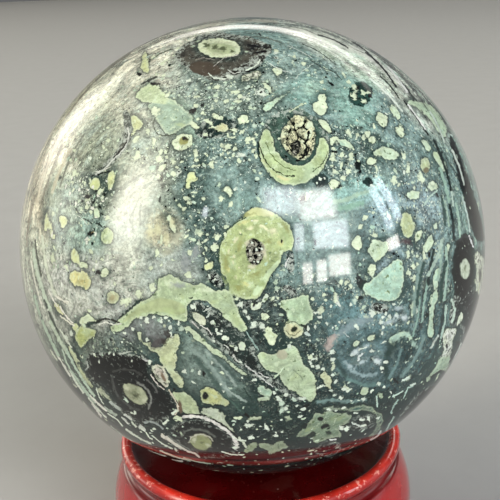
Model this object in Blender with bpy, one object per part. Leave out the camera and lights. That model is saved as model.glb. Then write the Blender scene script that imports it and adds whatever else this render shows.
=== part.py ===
"""Polished jasper sphere resting in the dish of a turned, red-lacquered wooden stand.

Metres, +Z up. The origin is the centre of the stand's underside. The side of the sphere with
the large yellow-green orb faces -Y.
"""

import math

import bmesh
import bpy
from mathutils import Matrix

MM = 0.001

# Sphere, ground a little wider than it is tall
SPHERE_ACROSS = 75.8 * MM
SPHERE_TALL = 74.2 * MM
SPHERE_CENTRE_HEIGHT = 58.35 * MM
SPHERE_SEGMENTS = 64
SPHERE_RINGS = 32

# Seat, a shallow hollow of the sphere's own curve in the middle of the dish
SEAT_RADIUS = 7.5 * MM
SEAT_GAP = 0.3 * MM
SEAT_POINTS = 3

# Lip, a rounded bead around the dish
LIP_RADIUS = 23.95 * MM
LIP_HEIGHT = 22.9 * MM
LIP_TUBE = 1.1 * MM
LIP_INNER_ANGLE = math.radians(190)
LIP_UNDER_ANGLE = math.radians(-60)
LIP_POINTS = 8

# Dish between the seat and the lip, steeper towards the lip
DISH_CURVE = 3.0
DISH_POINTS = 4

# Belly, the widest part of the stand, with a cove above and below it
BELLY_TOP_HEIGHT = 19.75 * MM
BELLY_BOTTOM_HEIGHT = 3.95 * MM
BELLY_END_RADIUS = 24.75 * MM
BELLY_BULGE = 2.2 * MM
BELLY_POINTS = 9
COVE_DEPTH = 0.9 * MM
COVE_POINTS = 5

# Foot, a plain rounded ring
FOOT_TOP_HEIGHT = 2.75 * MM
FOOT_TOP_RADIUS = 25.0 * MM
FOOT_BOTTOM_RADIUS = 25.5 * MM
FOOT_BULGE = 0.7 * MM
FOOT_POINTS = 4
LOWER_COVE_DEPTH = 0.55 * MM

STAND_STEPS = 64
MERGE_DISTANCE = 0.05 * MM


def clear_scene():
    for item in list(bpy.data.objects):
        bpy.data.objects.remove(item, do_unlink=True)


def make_material(name, colour, roughness, coat):
    material = bpy.data.materials.new(name)
    material.use_nodes = True
    shader = material.node_tree.nodes["Principled BSDF"]
    shader.inputs["Base Color"].default_value = (*colour, 1.0)
    shader.inputs["Roughness"].default_value = roughness
    shader.inputs["Metallic"].default_value = 0.0
    shader.inputs["Coat Weight"].default_value = coat
    material.diffuse_color = (*colour, 1.0)
    return material


def add_object(name, mesh, material):
    mesh.materials.append(material)
    item = bpy.data.objects.new(name, mesh)
    bpy.context.scene.collection.objects.link(item)
    return item


def sphere_underside(radius):
    """Height of the sphere's lower surface at this distance from the axis."""
    share = 2 * radius / SPHERE_ACROSS
    return SPHERE_CENTRE_HEIGHT - 0.5 * SPHERE_TALL * math.sqrt(1 - share * share)


def make_sphere(material):
    flatten = Matrix.Diagonal((1.0, 1.0, SPHERE_TALL / SPHERE_ACROSS, 1.0))
    shape = bmesh.new()
    bmesh.ops.create_uvsphere(
        shape,
        u_segments=SPHERE_SEGMENTS,
        v_segments=SPHERE_RINGS,
        radius=0.5 * SPHERE_ACROSS,
        matrix=flatten,
    )
    mesh = bpy.data.meshes.new("jasper_sphere")
    shape.to_mesh(mesh)
    shape.free()
    mesh.shade_smooth()
    sphere = add_object("jasper_sphere", mesh, material)
    sphere.location = (0.0, 0.0, SPHERE_CENTRE_HEIGHT)
    return sphere


def bowed(start, end, rise, count):
    """Points after start on the arc to end, which bows outwards by rise (inwards if negative)."""
    chord_r = end[0] - start[0]
    chord_z = end[1] - start[1]
    chord = math.hypot(chord_r, chord_z)
    half_angle = 2 * math.atan2(2 * abs(rise), chord)
    arc_radius = 0.5 * chord / math.sin(half_angle)
    side = math.copysign(1.0, rise)
    points = []
    for step in range(1, count + 1):
        angle = half_angle * (2 * step / count - 1)
        along = 0.5 + 0.5 * math.sin(angle) / math.sin(half_angle)
        lift = side * arc_radius * (math.cos(angle) - math.cos(half_angle))
        points.append(
            (
                start[0] + along * chord_r - lift * chord_z / chord,
                start[1] + along * chord_z + lift * chord_r / chord,
            )
        )
    return points


def seat_outline():
    """From the axis out to the edge of the seat, just under the sphere."""
    radii = [SEAT_RADIUS * step / SEAT_POINTS for step in range(SEAT_POINTS + 1)]
    return [(radius, sphere_underside(radius) - SEAT_GAP) for radius in radii]


def lip_outline():
    """Over the bead, from its side in the dish to its underside."""
    points = []
    for step in range(LIP_POINTS + 1):
        angle = LIP_INNER_ANGLE + (LIP_UNDER_ANGLE - LIP_INNER_ANGLE) * step / LIP_POINTS
        points.append((LIP_RADIUS + LIP_TUBE * math.cos(angle), LIP_HEIGHT + LIP_TUBE * math.sin(angle)))
    return points


def dish_outline(start, end):
    """Between the seat's edge and the lip, without either end."""
    points = []
    for step in range(1, DISH_POINTS + 1):
        share = step / (DISH_POINTS + 1)
        radius = start[0] + (end[0] - start[0]) * share
        points.append((radius, start[1] + (end[1] - start[1]) * share**DISH_CURVE))
    return points


def stand_outline():
    """Half section of the stand: out over the dish, down the outside and back along the underside."""
    seat = seat_outline()
    lip = lip_outline()
    belly_top = (BELLY_END_RADIUS, BELLY_TOP_HEIGHT)
    belly_bottom = (BELLY_END_RADIUS, BELLY_BOTTOM_HEIGHT)
    foot_top = (FOOT_TOP_RADIUS, FOOT_TOP_HEIGHT)
    foot_bottom = (FOOT_BOTTOM_RADIUS, 0.0)
    points = seat + dish_outline(seat[-1], lip[0]) + lip
    points += bowed(lip[-1], belly_top, -COVE_DEPTH, COVE_POINTS)
    points += bowed(belly_top, belly_bottom, BELLY_BULGE, BELLY_POINTS)
    points += bowed(belly_bottom, foot_top, -LOWER_COVE_DEPTH, COVE_POINTS)
    points += bowed(foot_top, foot_bottom, FOOT_BULGE, FOOT_POINTS)
    points.append((0.0, 0.0))
    return points


def make_stand(material):
    outline = [(radius, 0.0, height) for radius, height in stand_outline()]
    edges = [(index, index + 1) for index in range(len(outline) - 1)]
    mesh = bpy.data.meshes.new("stand")
    mesh.from_pydata(outline, edges, [])
    stand = add_object("stand", mesh, material)
    turning = stand.modifiers.new("turning", "SCREW")
    turning.axis = "Z"
    turning.angle = 2 * math.pi
    turning.steps = STAND_STEPS
    turning.render_steps = STAND_STEPS
    turning.use_merge_vertices = True
    turning.merge_threshold = MERGE_DISTANCE
    turning.use_smooth_shade = True
    return stand


def main():
    clear_scene()
    jasper = make_material("jasper", (0.085, 0.135, 0.115), 0.08, 0.6)
    lacquer = make_material("red_lacquered_wood", (0.33, 0.012, 0.010), 0.12, 1.0)
    make_sphere(jasper)
    make_stand(lacquer)


main()
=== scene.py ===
"""Looks of a polished orbicular jasper sphere in the dish of a red-lacquered turned stand.

The stone's colours are painted in three steps. Broad tints and crisp patches are worked out at the
vertices of a fine sphere, as distances to outlines drawn as seen from the photograph's
viewpoint. Small flecks, rings and veins are kept on the faces as short ellipses and strokes, and the
material draws them, most of them sharply and some softly. Noise in the material gives the smoke, the
cracks, the crumbs and the grain. The far side carries the same kinds of features, bent into other
shapes and turned round. Between the two lie streaks, small patches and tints, placed by a seeded draw.
"""

import math
from collections import namedtuple
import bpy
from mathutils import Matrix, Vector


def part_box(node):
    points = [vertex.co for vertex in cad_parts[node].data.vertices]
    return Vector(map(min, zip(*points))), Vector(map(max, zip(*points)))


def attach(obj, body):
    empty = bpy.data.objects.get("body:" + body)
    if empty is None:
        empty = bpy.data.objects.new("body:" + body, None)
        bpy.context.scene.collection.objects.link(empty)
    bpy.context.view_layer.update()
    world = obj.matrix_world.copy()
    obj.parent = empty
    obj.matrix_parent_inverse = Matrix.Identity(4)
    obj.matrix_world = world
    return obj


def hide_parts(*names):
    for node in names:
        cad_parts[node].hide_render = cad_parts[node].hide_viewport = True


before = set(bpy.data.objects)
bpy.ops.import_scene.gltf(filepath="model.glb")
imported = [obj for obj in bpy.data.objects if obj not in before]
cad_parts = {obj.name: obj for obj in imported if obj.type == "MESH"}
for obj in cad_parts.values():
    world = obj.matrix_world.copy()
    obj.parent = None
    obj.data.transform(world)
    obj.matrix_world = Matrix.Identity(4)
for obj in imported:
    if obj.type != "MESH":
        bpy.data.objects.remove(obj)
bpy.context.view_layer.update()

from types import SimpleNamespace

import bmesh
import bpy
import numpy as np
from mathutils import Matrix, Vector
from mathutils.kdtree import KDTree

MM = 0.001

# Viewpoint of the photograph, whose coordinates are pixels of a 500 by 500 picture
IMAGE_SIDE = 500
FOCAL_LENGTH = 850.0
CENTRE_SEEN_AT = (252.1, 245.4)
VIEW_ELEVATION = math.radians(17.55)
VIEW_DISTANCE = 143.3 * MM
VIEW_ROLL = math.radians(2.43)
SENSOR_WIDTH = 36.0

CLIP_START = 0.01
CLIP_END = 50.0

# Fine sphere
CELLS_PER_EDGE = 128
CROWDING = 0.55
SEED = 7

# Reach of the drawn features past the visible edge, as angles from the direction of the viewpoint
EDGE_ANGLE = math.radians(68)
EDGE_SLOPE = 34.0
FADE_ANGLE = math.radians(84)
FADE_SLOPE = 90.0
FADE_HALF_WIDTH = 0.1
LAST_MARK_ANGLE = math.radians(88)
LAST_AREA_ANGLE = math.radians(96)

# Areas and tints, with depths in the photograph's pixels and edges as shares of an ellipse
FAR_OUTSIDE = -14.0
SMOOTHINGS = 2
TINT_EDGE = (0.6, 1.45)
CROWD_EDGE = (0.7, 1.3)

# Marks kept on the faces
MARKS_PER_FACE = 4
MARK_MARGIN = 0.7 * MM
LONGEST_MARK = 14 * MM
SLOPE_STEP = 0.1 * MM
NO_MARK_HERE = -10.0
SOFT = 1.0
STROKE_SOFTNESS = 0.1
FLECK_SOFTNESS = 0.15

# Loose flecks strewn over the ground, in millimetres where a name says so
LOOSE_FLECKS = 3400
LOOSE_SHIFT = 0.15 * MM
LOOSE_SIZE_MM = 0.12
LOOSE_SPREAD = 0.5
LARGEST_LOOSE_MM = 0.5
LOOSE_THINNESS = (0.45, 1.0)
LOOSE_SOFTNESS = (0.0, 0.5)
PALE_DEPTH_KEPT_CLEAR = -1.5
DARK_DEPTH_KEPT_CLEAR = -1.0
SHARE_ON_PALE = 0.12
SHARE_ON_DARK = 0.25

# Wavy patches and soft tints round the side
BLOBS = 120
BLOB_ANGLES = (74, 106)
BLOB_TURN = 0.6
BLOB_SIZE_SHARES = (0.25, 1.0)
LARGEST_BLOB = 4.4 * MM
BLOB_THINNESS = (0.4, 0.9)
BLOB_MARGIN = 2 * MM
BLOB_WAVES = ((0.12, 2), (0.13, 3), (0.09, 5), (0.05, 8))
BLOB_FADE = (math.radians(73), math.radians(79))
BLOB_SLOPE = 8 / MM
BLOB_DEEPEST = 10
BLOB_HIDING = 30
HEART_EVERY = 4
HEART_LEAST_SIZE = 1.6 * MM
HEART_SHARE = 0.4
HEART_CRACKLE = 0.7
SIDE_TINTS = 60
SIDE_TINT_SIZES = (6, 13)
SIDE_TINT_STRENGTH = 0.5
SIDE_TINT_EDGE = (0.5, 1.2)
SIDE_TINT_FADE = (math.radians(74), math.radians(84))

# Stand, with the sizes of its turned section
SEAT_RADIUS = 7.5 * MM
SEAT_GAP = 0.3 * MM
LIP_RADIUS = 23.95 * MM
LIP_HEIGHT = 22.9 * MM
LIP_TUBE = 1.1 * MM
LIP_INNER_ANGLE = math.radians(190)
LIP_UNDER_ANGLE = math.radians(-60)
DISH_CURVE = 3.0
BELLY_TOP_HEIGHT = 19.75 * MM
BELLY_BOTTOM_HEIGHT = 3.95 * MM
BELLY_END_RADIUS = 24.75 * MM
BELLY_BULGE = 2.2 * MM
COVE_DEPTH = 0.9 * MM
FOOT_TOP_HEIGHT = 2.75 * MM
FOOT_TOP_RADIUS = 25.0 * MM
FOOT_BOTTOM_RADIUS = 25.5 * MM
FOOT_BULGE = 0.7 * MM
LOWER_COVE_DEPTH = 0.55 * MM
FLAT_UNDERSIDE_SHARES = (0.97, 0.7, 0.35)

# How finely the stand's section is drawn and turned
SEAT_STEPS = 16
DISH_STEPS = 30
LIP_STEPS = 28
COVE_STEPS = 14
BELLY_STEPS = 40
LOWER_COVE_STEPS = 10
FOOT_STEPS = 12
STAND_STEPS = 288

# Floor, in metres and linear colours
FLOOR_HALF_SIDE = 6.0
FLOOR_DARKER = (0.32, 0.32, 0.31)
FLOOR_PALER = (0.36, 0.36, 0.35)
FLOOR_ROUGHNESS = 0.75


def rgb(red, green, blue):
    """Linear colour of a display colour given as 0 to 255."""
    colour = []
    for share in (red / 255, green / 255, blue / 255):
        colour.append(share / 12.92 if share <= 0.04045 else ((share + 0.055) / 1.055) ** 2.4)
    return tuple(colour)


CREAM = rgb(219, 232, 201)
PALE = rgb(202, 222, 194)
MINT = rgb(182, 212, 190)
SEA = rgb(146, 180, 168)
LEAF = rgb(184, 200, 140)
YELLOW = rgb(214, 222, 166)
WHITE = rgb(224, 236, 220)
FROST = rgb(198, 218, 200)
GREY = rgb(148, 156, 148)
CLOUD = rgb(148, 176, 176)
SLATE = rgb(116, 144, 140)
TEAL = rgb(92, 121, 118)
DEEP = rgb(42, 64, 60)
INK = rgb(20, 34, 32)
BLACK = rgb(7, 9, 10)

# Colours of the stone's noise layers
SMOKE_PALE = rgb(176, 198, 188)
FLOW_PALE = rgb(156, 190, 174)
FLOW_DARK = rgb(26, 40, 40)
THREAD = rgb(44, 52, 46)
VEIN = rgb(160, 178, 166)
# Painted shade towards the seat, first on the ground and then on the whole stone
GROUND_PAINTED_SHADE = rgb(0, 40, 42)
STONE_PAINTED_SHADE = rgb(6, 30, 31)
DARK_SCRIBBLE = rgb(178, 188, 178)
DARK_SPECK = rgb(118, 128, 122)
OLIVE_PALE = rgb(190, 214, 188)
OLIVE_LINE = rgb(120, 138, 96)
PALE_SPECK = rgb(112, 132, 96)
PALE_BLOT = rgb(214, 230, 198)
PALE_SCRIBBLE = rgb(58, 62, 50)
INNER_SCRIBBLE = rgb(176, 176, 160)
STONE_SHADE = 0.66

BLOB_COLOURS = (MINT, PALE, INK, LEAF, SEA, CREAM, BLACK, MINT, LEAF, SEA, PALE)
SIDE_TINT_COLOURS = (DEEP, SEA, SLATE, GREY, INK, MINT)
LOOSE_COLOURS = (FROST, PALE, CREAM, MINT, WHITE, FROST, PALE, BLACK, CREAM, INK)

# Lacquer, in linear colours
LACQUER_DEEPER = (0.085, 0.001, 0.0016)
LACQUER_LIGHTER = (0.14, 0.0018, 0.0026)
# Painted light: a lighter red on the lip
LACQUER_LIP_LIGHT = (0.58, 0.028, 0.014)
# Painted light: a lighter red on the outer wall
LACQUER_WALL_LIGHT = (0.3, 0.004, 0.005)
# Pale chipped spots on the lip, partly painted glints
LACQUER_CHIP_AND_GLINT = (0.75, 0.34, 0.27)
LACQUER_SPECK = (0.6, 0.42, 0.38)

# Tints of the panels of light, and the studio's own light
BLUISH = (0.9, 0.95, 1.0)
SKY = (0.77, 0.91, 1.0)
WARM = (1.0, 0.94, 0.8)
CREAMY = (1.0, 0.96, 0.88)
ROSY = (1.0, 0.94, 0.89)
STUDIO_TINT = (0.95, 0.97, 1.0, 1.0)
STUDIO_STRENGTH = 0.14

# Watts for each square metre of a panel at a radiance of 1
POWER_PER_AREA = 4

# Soft panels facing the sphere: azimuth, elevation, distance, width and height as angles, radiance,
# tint, how far in from its edges a panel dims, and roll
LIGHTS = {
    "upper left pane": (163, 38, 4.0, (21, 17), 10.5, BLUISH, 0.3, -8),
    "upper right pane": (144.5, 33, 4.0, (21, 17), 12.5, ROSY, 0.24, -8),
    "lower pane": (142, 18.8, 4.0, (18.5, 13.6), 11.0, BLUISH, 0.14, -10),
    "lower side pane": (157.5, 20.5, 4.0, (5, 14), 8.5, BLUISH, 0.15, -10),
    "low pane a": (156, 2.6, 4.0, (5, 14), 13.0, CREAMY, 0.16, -4),
    "low pane b": (149.5, 3.4, 4.0, (5.4, 12.5), 14.0, CREAMY, 0.16, -4),
    "low pane c": (140.8, 5.0, 4.0, (12, 11), 13.0, CREAMY, 0.16, -6),
    "haze": (144, 20, 4.4, (64, 64), 1.7, BLUISH, 0.5, 0),
    "left bar": (111.8, 21, 4.0, (4.9, 21), 9.5, SKY, 0.14, 2),
    "right bar": (105.6, 22.5, 4.0, (4.9, 21), 9.5, SKY, 0.14, 2),
    "bar foot": (112.4, 6.5, 4.0, (8, 5.6), 15.0, CREAMY, 0.16, 0),
    "small lamp": (-156, 33.5, 4.0, (3, 6), 14.0, BLUISH, 0.3, 0),
    "warm lamp": (-116, 27, 4.0, (30, 56), 11.6, WARM, 0.42, 8),
    "upper warm haze": (-84, 54, 4.4, (60, 54), 2.1, WARM, 0.5, 0),
    "left fill": (-78, 8, 4.0, (44, 48), 2.6, CREAMY, 0.5, 0),
    "right fill": (86, 12, 4.0, (36, 44), 1.2, BLUISH, 0.5, 0),
    "back left panel": (-44, 17, 6.6, (38, 40), 2.9, WARM, 0.45, 0),
    "back strip": (18, 31.5, 6.6, (76, 10), 2.6, CREAMY, 0.35, -8),
    "upper back strip": (34, 39, 6.6, (44, 4), 1.8, CREAMY, 0.4, -12),
}

# Broad soft tints: colour, strength, centre x, centre y, half width, half height, tilt clockwise
TINTS = {
    "upper half": (rgb(138, 164, 158), 0.8, 250, 160, 230, 130, 0),
    "left half": (rgb(200, 208, 188), 0.8, 70, 215, 80, 150, 0),
    # Lower dark and right low dark: partly the stone's own dark ground, partly painted shade towards the
    # seat
    "lower dark": (rgb(28, 54, 54), 0.85, 270, 424, 180, 46, 0),
    "right low dark": (rgb(72, 104, 104), 0.4, 420, 340, 60, 90, 10),
    # Left limb, top limb, right limb high and upper left: partly the stone's own cream, partly painted
    # light and painted reflection along the limb
    "left limb a": (rgb(246, 240, 216), 0.97, 68, 130, 68, 27, -61),
    "left limb b": (rgb(236, 230, 206), 0.9, 34, 212, 66, 17, -82),
    "left limb c": (rgb(240, 236, 212), 0.95, 108, 80, 52, 24, -42),
    "top limb left": (rgb(230, 228, 208), 0.9, 172, 38, 62, 16, -22),
    "top limb right": (rgb(236, 238, 222), 0.95, 352, 52, 84, 18, 30),
    "right limb high": (rgb(228, 232, 216), 0.92, 412, 92, 60, 17, 50),
    "under top orb": (rgb(150, 162, 148), 0.6, 222, 92, 70, 26, 0),
    "upper left": (rgb(228, 226, 206), 0.88, 128, 90, 60, 34, -46),
    "upper left pale": (PALE, 0.3, 88, 105, 42, 18, -52),
    "grey upper left": (rgb(178, 184, 164), 0.7, 144, 150, 44, 60, 0),
    "mint by triangle": (rgb(178, 208, 186), 0.95, 174, 114, 32, 15, 42),
    "oval in upper left": (rgb(150, 160, 140), 0.8, 98, 144, 24, 31, 32),
    "speckled left": (rgb(66, 84, 70), 0.6, 92, 196, 24, 22, 20),
    "left sea": (rgb(152, 186, 172), 0.8, 84, 234, 24, 22, 0),
    "sea left upper": (rgb(166, 184, 162), 0.75, 62, 200, 17, 34, -8),
    # Left edge: partly the stone's own cream, partly painted light along the left limb
    "left edge": (rgb(244, 250, 230), 0.98, 48, 304, 27, 84, -22),
    "left edge low": (rgb(160, 190, 170), 0.85, 76, 362, 14, 46, -40),
    "lilac left": (rgb(230, 234, 228), 0.88, 86, 292, 50, 36, 10),
    "grey left of middle": (rgb(226, 232, 216), 0.8, 146, 278, 50, 24, 0),
    "pale left low": (rgb(240, 246, 232), 0.92, 74, 314, 32, 28, 0),
    "speckled above lower eye": (DEEP, 0.36, 112, 342, 30, 12, 0),
    "smooth grey": (rgb(150, 154, 154), 0.85, 142, 330, 28, 14, 8),
    "slate middle left": (rgb(176, 202, 190), 0.9, 207, 364, 38, 32, 42),
    "sea by lower band": (rgb(184, 218, 202), 0.85, 240, 400, 24, 13, 48),
    "deep under orb": (rgb(12, 36, 36), 0.97, 258, 322, 44, 40, 10),
    "deep right of patch": (INK, 0.6, 314, 356, 10, 32, -18),
    # Deep low middle, deep lowest and deep low right: partly the stone's own dark ground, partly painted
    # shade towards the seat
    "deep low middle": (rgb(14, 50, 52), 0.92, 278, 418, 46, 26, 0),
    "sea band low": (rgb(112, 150, 144), 0.7, 346, 403, 40, 7, 4),
    "teal low middle": (rgb(104, 140, 128), 0.7, 258, 412, 30, 14, 20),
    "deep lowest": (rgb(8, 34, 36), 0.7, 330, 446, 46, 12, -12),
    "deep low right": (rgb(52, 82, 82), 0.8, 372, 398, 46, 22, -8),
    "cloud": (rgb(172, 194, 200), 0.78, 368, 360, 30, 27, 0),
    "cloud above": (rgb(160, 190, 194), 0.7, 384, 322, 34, 16, 0),
    "cloud right": (rgb(168, 186, 182), 0.55, 408, 317, 12, 13, 0),
    "slate right": (rgb(98, 142, 146), 0.6, 338, 308, 30, 22, 0),
    "sea upper right": (rgb(146, 186, 172), 0.75, 354, 106, 22, 28, -12),
    "sea top": (rgb(138, 176, 165), 0.75, 306, 92, 26, 15, -10),
    "mint top": (MINT, 0.5, 312, 88, 9, 8, 0),
    "deep at shoulder": (DEEP, 0.72, 192, 180, 17, 32, 0),
    "deep by orb": (rgb(34, 56, 56), 0.72, 208, 238, 15, 38, 0),
    "deep by crescent": (DEEP, 0.3, 244, 134, 24, 20, 0),
    "tan": (rgb(222, 216, 184), 0.8, 165, 232, 18, 22, 0),
    "grey middle": (rgb(178, 188, 182), 0.6, 172, 266, 28, 20, 0),
    "sea above orb": (SEA, 0.4, 240, 200, 18, 10, 0),
    "deep right": (DEEP, 0.6, 346, 150, 32, 26, 20),
    "deep above orb": (DEEP, 0.4, 256, 174, 14, 12, 0),
    "deep above crescent": (DEEP, 0.4, 286, 110, 20, 8, 0),
    "teal right of middle": (rgb(66, 92, 94), 0.6, 366, 230, 9, 26, 0),
    "blue right of middle": (rgb(190, 216, 222), 0.8, 391, 262, 16, 20, 0),
    "blue far right": (rgb(196, 216, 218), 0.75, 402, 214, 18, 18, 0),
    "sea right": (rgb(160, 204, 194), 0.75, 352, 192, 40, 13, -14),
    "sea far right": (rgb(170, 202, 208), 0.8, 402, 208, 34, 24, 0),
    "grey far right": (rgb(150, 178, 180), 0.65, 422, 250, 22, 44, 0),
    "teal low right": (rgb(134, 176, 180), 0.78, 388, 348, 68, 48, -10),
    "deep right low": (rgb(30, 62, 64), 0.7, 404, 350, 16, 14, 0),
    # Ink tints below the eyes and along the lower limb: partly the stone's own dark ground, partly
    # painted shade towards the seat
    "ink below eyes": (INK, 0.95, 140, 431, 48, 13, 30),
    "ink lowest left": (INK, 0.9, 190, 456, 46, 7, 10),
    "ink left limb": (INK, 0.9, 90, 412, 42, 9, 44),
    "ink low limb": (INK, 0.9, 142, 448, 50, 9, 22),
    "ink right limb": (INK, 0.8, 428, 404, 44, 9, -52),
    "top right pale": (rgb(150, 176, 150), 0.7, 350, 62, 50, 10, 34),
}

# Crisp dark areas, each an outline of x, y pairs or (x, y, half width, half height, tilt)
DARK_AREAS = {
    "top disc": (rgb(62, 61, 54), [
        172, 58, 180, 46, 195, 38, 212, 33, 230, 33, 250, 37, 266, 43, 274, 49, 268, 56, 258, 60,
        252, 66, 243, 72, 228, 79, 214, 81, 200, 76, 186, 68], 0.45),
    "oval rim": (rgb(58, 62, 54), [
        122, 108, 128, 112, 132, 120, 133, 130, 131, 140, 126, 149, 118, 158, 108, 167, 97, 176,
        91, 176, 100, 167, 111, 157, 119, 147, 124, 138, 125, 128, 123, 118], 0.75),
    "top crackle": (rgb(48, 46, 42), [
        220, 68, 232, 61, 244, 58, 256, 54, 263, 50, 269, 54, 262, 63, 254, 71, 244, 77, 232, 81,
        220, 80], 1.0),
    "crescent ring": (rgb(64, 86, 76), (294, 146, 35, 37, -4), 0.55),
    "lower eye": (BLACK, [
        88, 352, 100, 353, 112, 354, 125, 353, 137, 354, 148, 358, 155, 366, 153, 374, 158, 383,
        166, 389, 172, 396, 177, 404, 177, 411, 172, 417, 166, 421, 160, 424, 150, 421, 140, 427,
        130, 420, 118, 411, 110, 402, 103, 394, 99, 388, 92, 384, 86, 379, 83, 371, 86, 362], 0.12),
    "lowest eye": (BLACK, [
        176, 424, 183, 420, 192, 419, 203, 420, 212, 424, 220, 428, 228, 433, 233, 439, 235, 446,
        236, 452, 232, 457, 222, 459, 210, 458, 200, 458, 190, 453, 180, 447, 172, 440, 168, 432], 0.1),
    "edge band": (BLACK, [
        449, 133, 455, 143, 461, 156, 466, 170, 471, 186, 476, 203, 481, 220, 486, 240, 480, 242,
        474, 238, 469, 225, 466, 208, 462, 192, 458, 176, 454, 162, 449, 148]),
    "edge eye": (BLACK, (464, 268, 12, 35, 2)),
    "below edge eye": (rgb(14, 20, 22), [
        452, 299, 458, 296, 466, 290, 476, 286, 486, 290, 484, 310, 480, 325, 473, 338, 466, 345,
        462, 336, 460, 325, 456, 327, 450, 328, 449, 318, 451, 308], 0.35),
    "low edge eye": (BLACK, [
        437, 383, 436, 391, 430, 401, 422, 410, 413, 420, 404, 430, 397, 430, 395, 424, 400, 415,
        409, 403, 419, 393, 428, 386], 0.12),
    "speckled band": (INK, [
        190, 303, 197, 300, 203, 302, 212, 308, 220, 314, 228, 320, 236, 328, 244, 333, 250, 342,
        256, 350, 258, 359, 262, 367, 268, 372, 276, 376, 283, 386, 292, 393, 300, 399, 296, 402,
        288, 396, 278, 390, 268, 384, 258, 378, 250, 377, 243, 370, 236, 364, 228, 356, 221, 350,
        213, 343, 206, 336, 198, 328, 190, 323, 187, 318, 189, 310], 0.4),
    "pit left of orb": (BLACK, [
        205, 272, 211, 270, 217, 272, 222, 279, 227, 286, 224, 290, 216, 288, 209, 283], 0.8),
    "pit right of orb": (BLACK, [
        281, 288, 286, 284, 291, 286, 297, 290, 299, 294, 294, 297, 289, 295, 284, 291], 0.8),
    "pit under orb": (BLACK, [
        236, 297, 244, 300, 254, 301, 262, 298, 261, 303, 252, 305, 250, 309, 244, 307], 0.8),
    "right of orb": (INK, (290, 262, 4, 11, 0), 0.5),
    "cluster top right": (rgb(28, 54, 48), (360, 94, 12, 13, 40)),
    "cluster right": (BLACK, (380, 308, 9, 5, 10), 0.9),
    "streak right of top": (rgb(30, 30, 26), (257, 47, 15, 5, 5)),
    "spot a": (BLACK, (358, 165, 4, 5, 0)),
    "spot b": (INK, (368, 182, 5, 4, 0)),
    "spot c": (INK, (320, 180, 8, 7, 0)),
    "spot d": (BLACK, (338, 186, 4, 2, 0)),
    "below right hook": (BLACK, [
        356, 273, 359, 275, 362, 280, 368, 281, 366, 285, 361, 286, 363, 290, 358, 287]),
    "low speckled": (INK, (364, 422, 17, 8, -10), 0.5),
    "lowest navy": (rgb(14, 22, 28), [
        316, 446, 322, 442, 330, 440, 338, 441, 342, 447, 338, 455, 328, 458, 318, 456, 312, 450], 0.3),
    "left slit": (INK, [
        74, 337, 75, 340, 74, 346, 77, 351, 79, 357, 80, 363, 83, 369, 81, 368, 77, 361, 73, 350,
        72, 343]),
    "under left patch": (rgb(30, 36, 24), [
        85, 326, 88, 323, 92, 321, 97, 320, 101, 321, 97, 323, 91, 325, 87, 328]),
    "above left arm": (rgb(24, 32, 22), [
        144, 297, 139, 303, 133, 308, 127, 313, 120, 319, 120, 317, 127, 310, 134, 304, 139, 299]),
    "by crescent": (INK, (262, 152, 5, 12, -12)),
    "black fleck zone": (INK, (216, 128, 22, 10, -10), 0.5),
}

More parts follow.
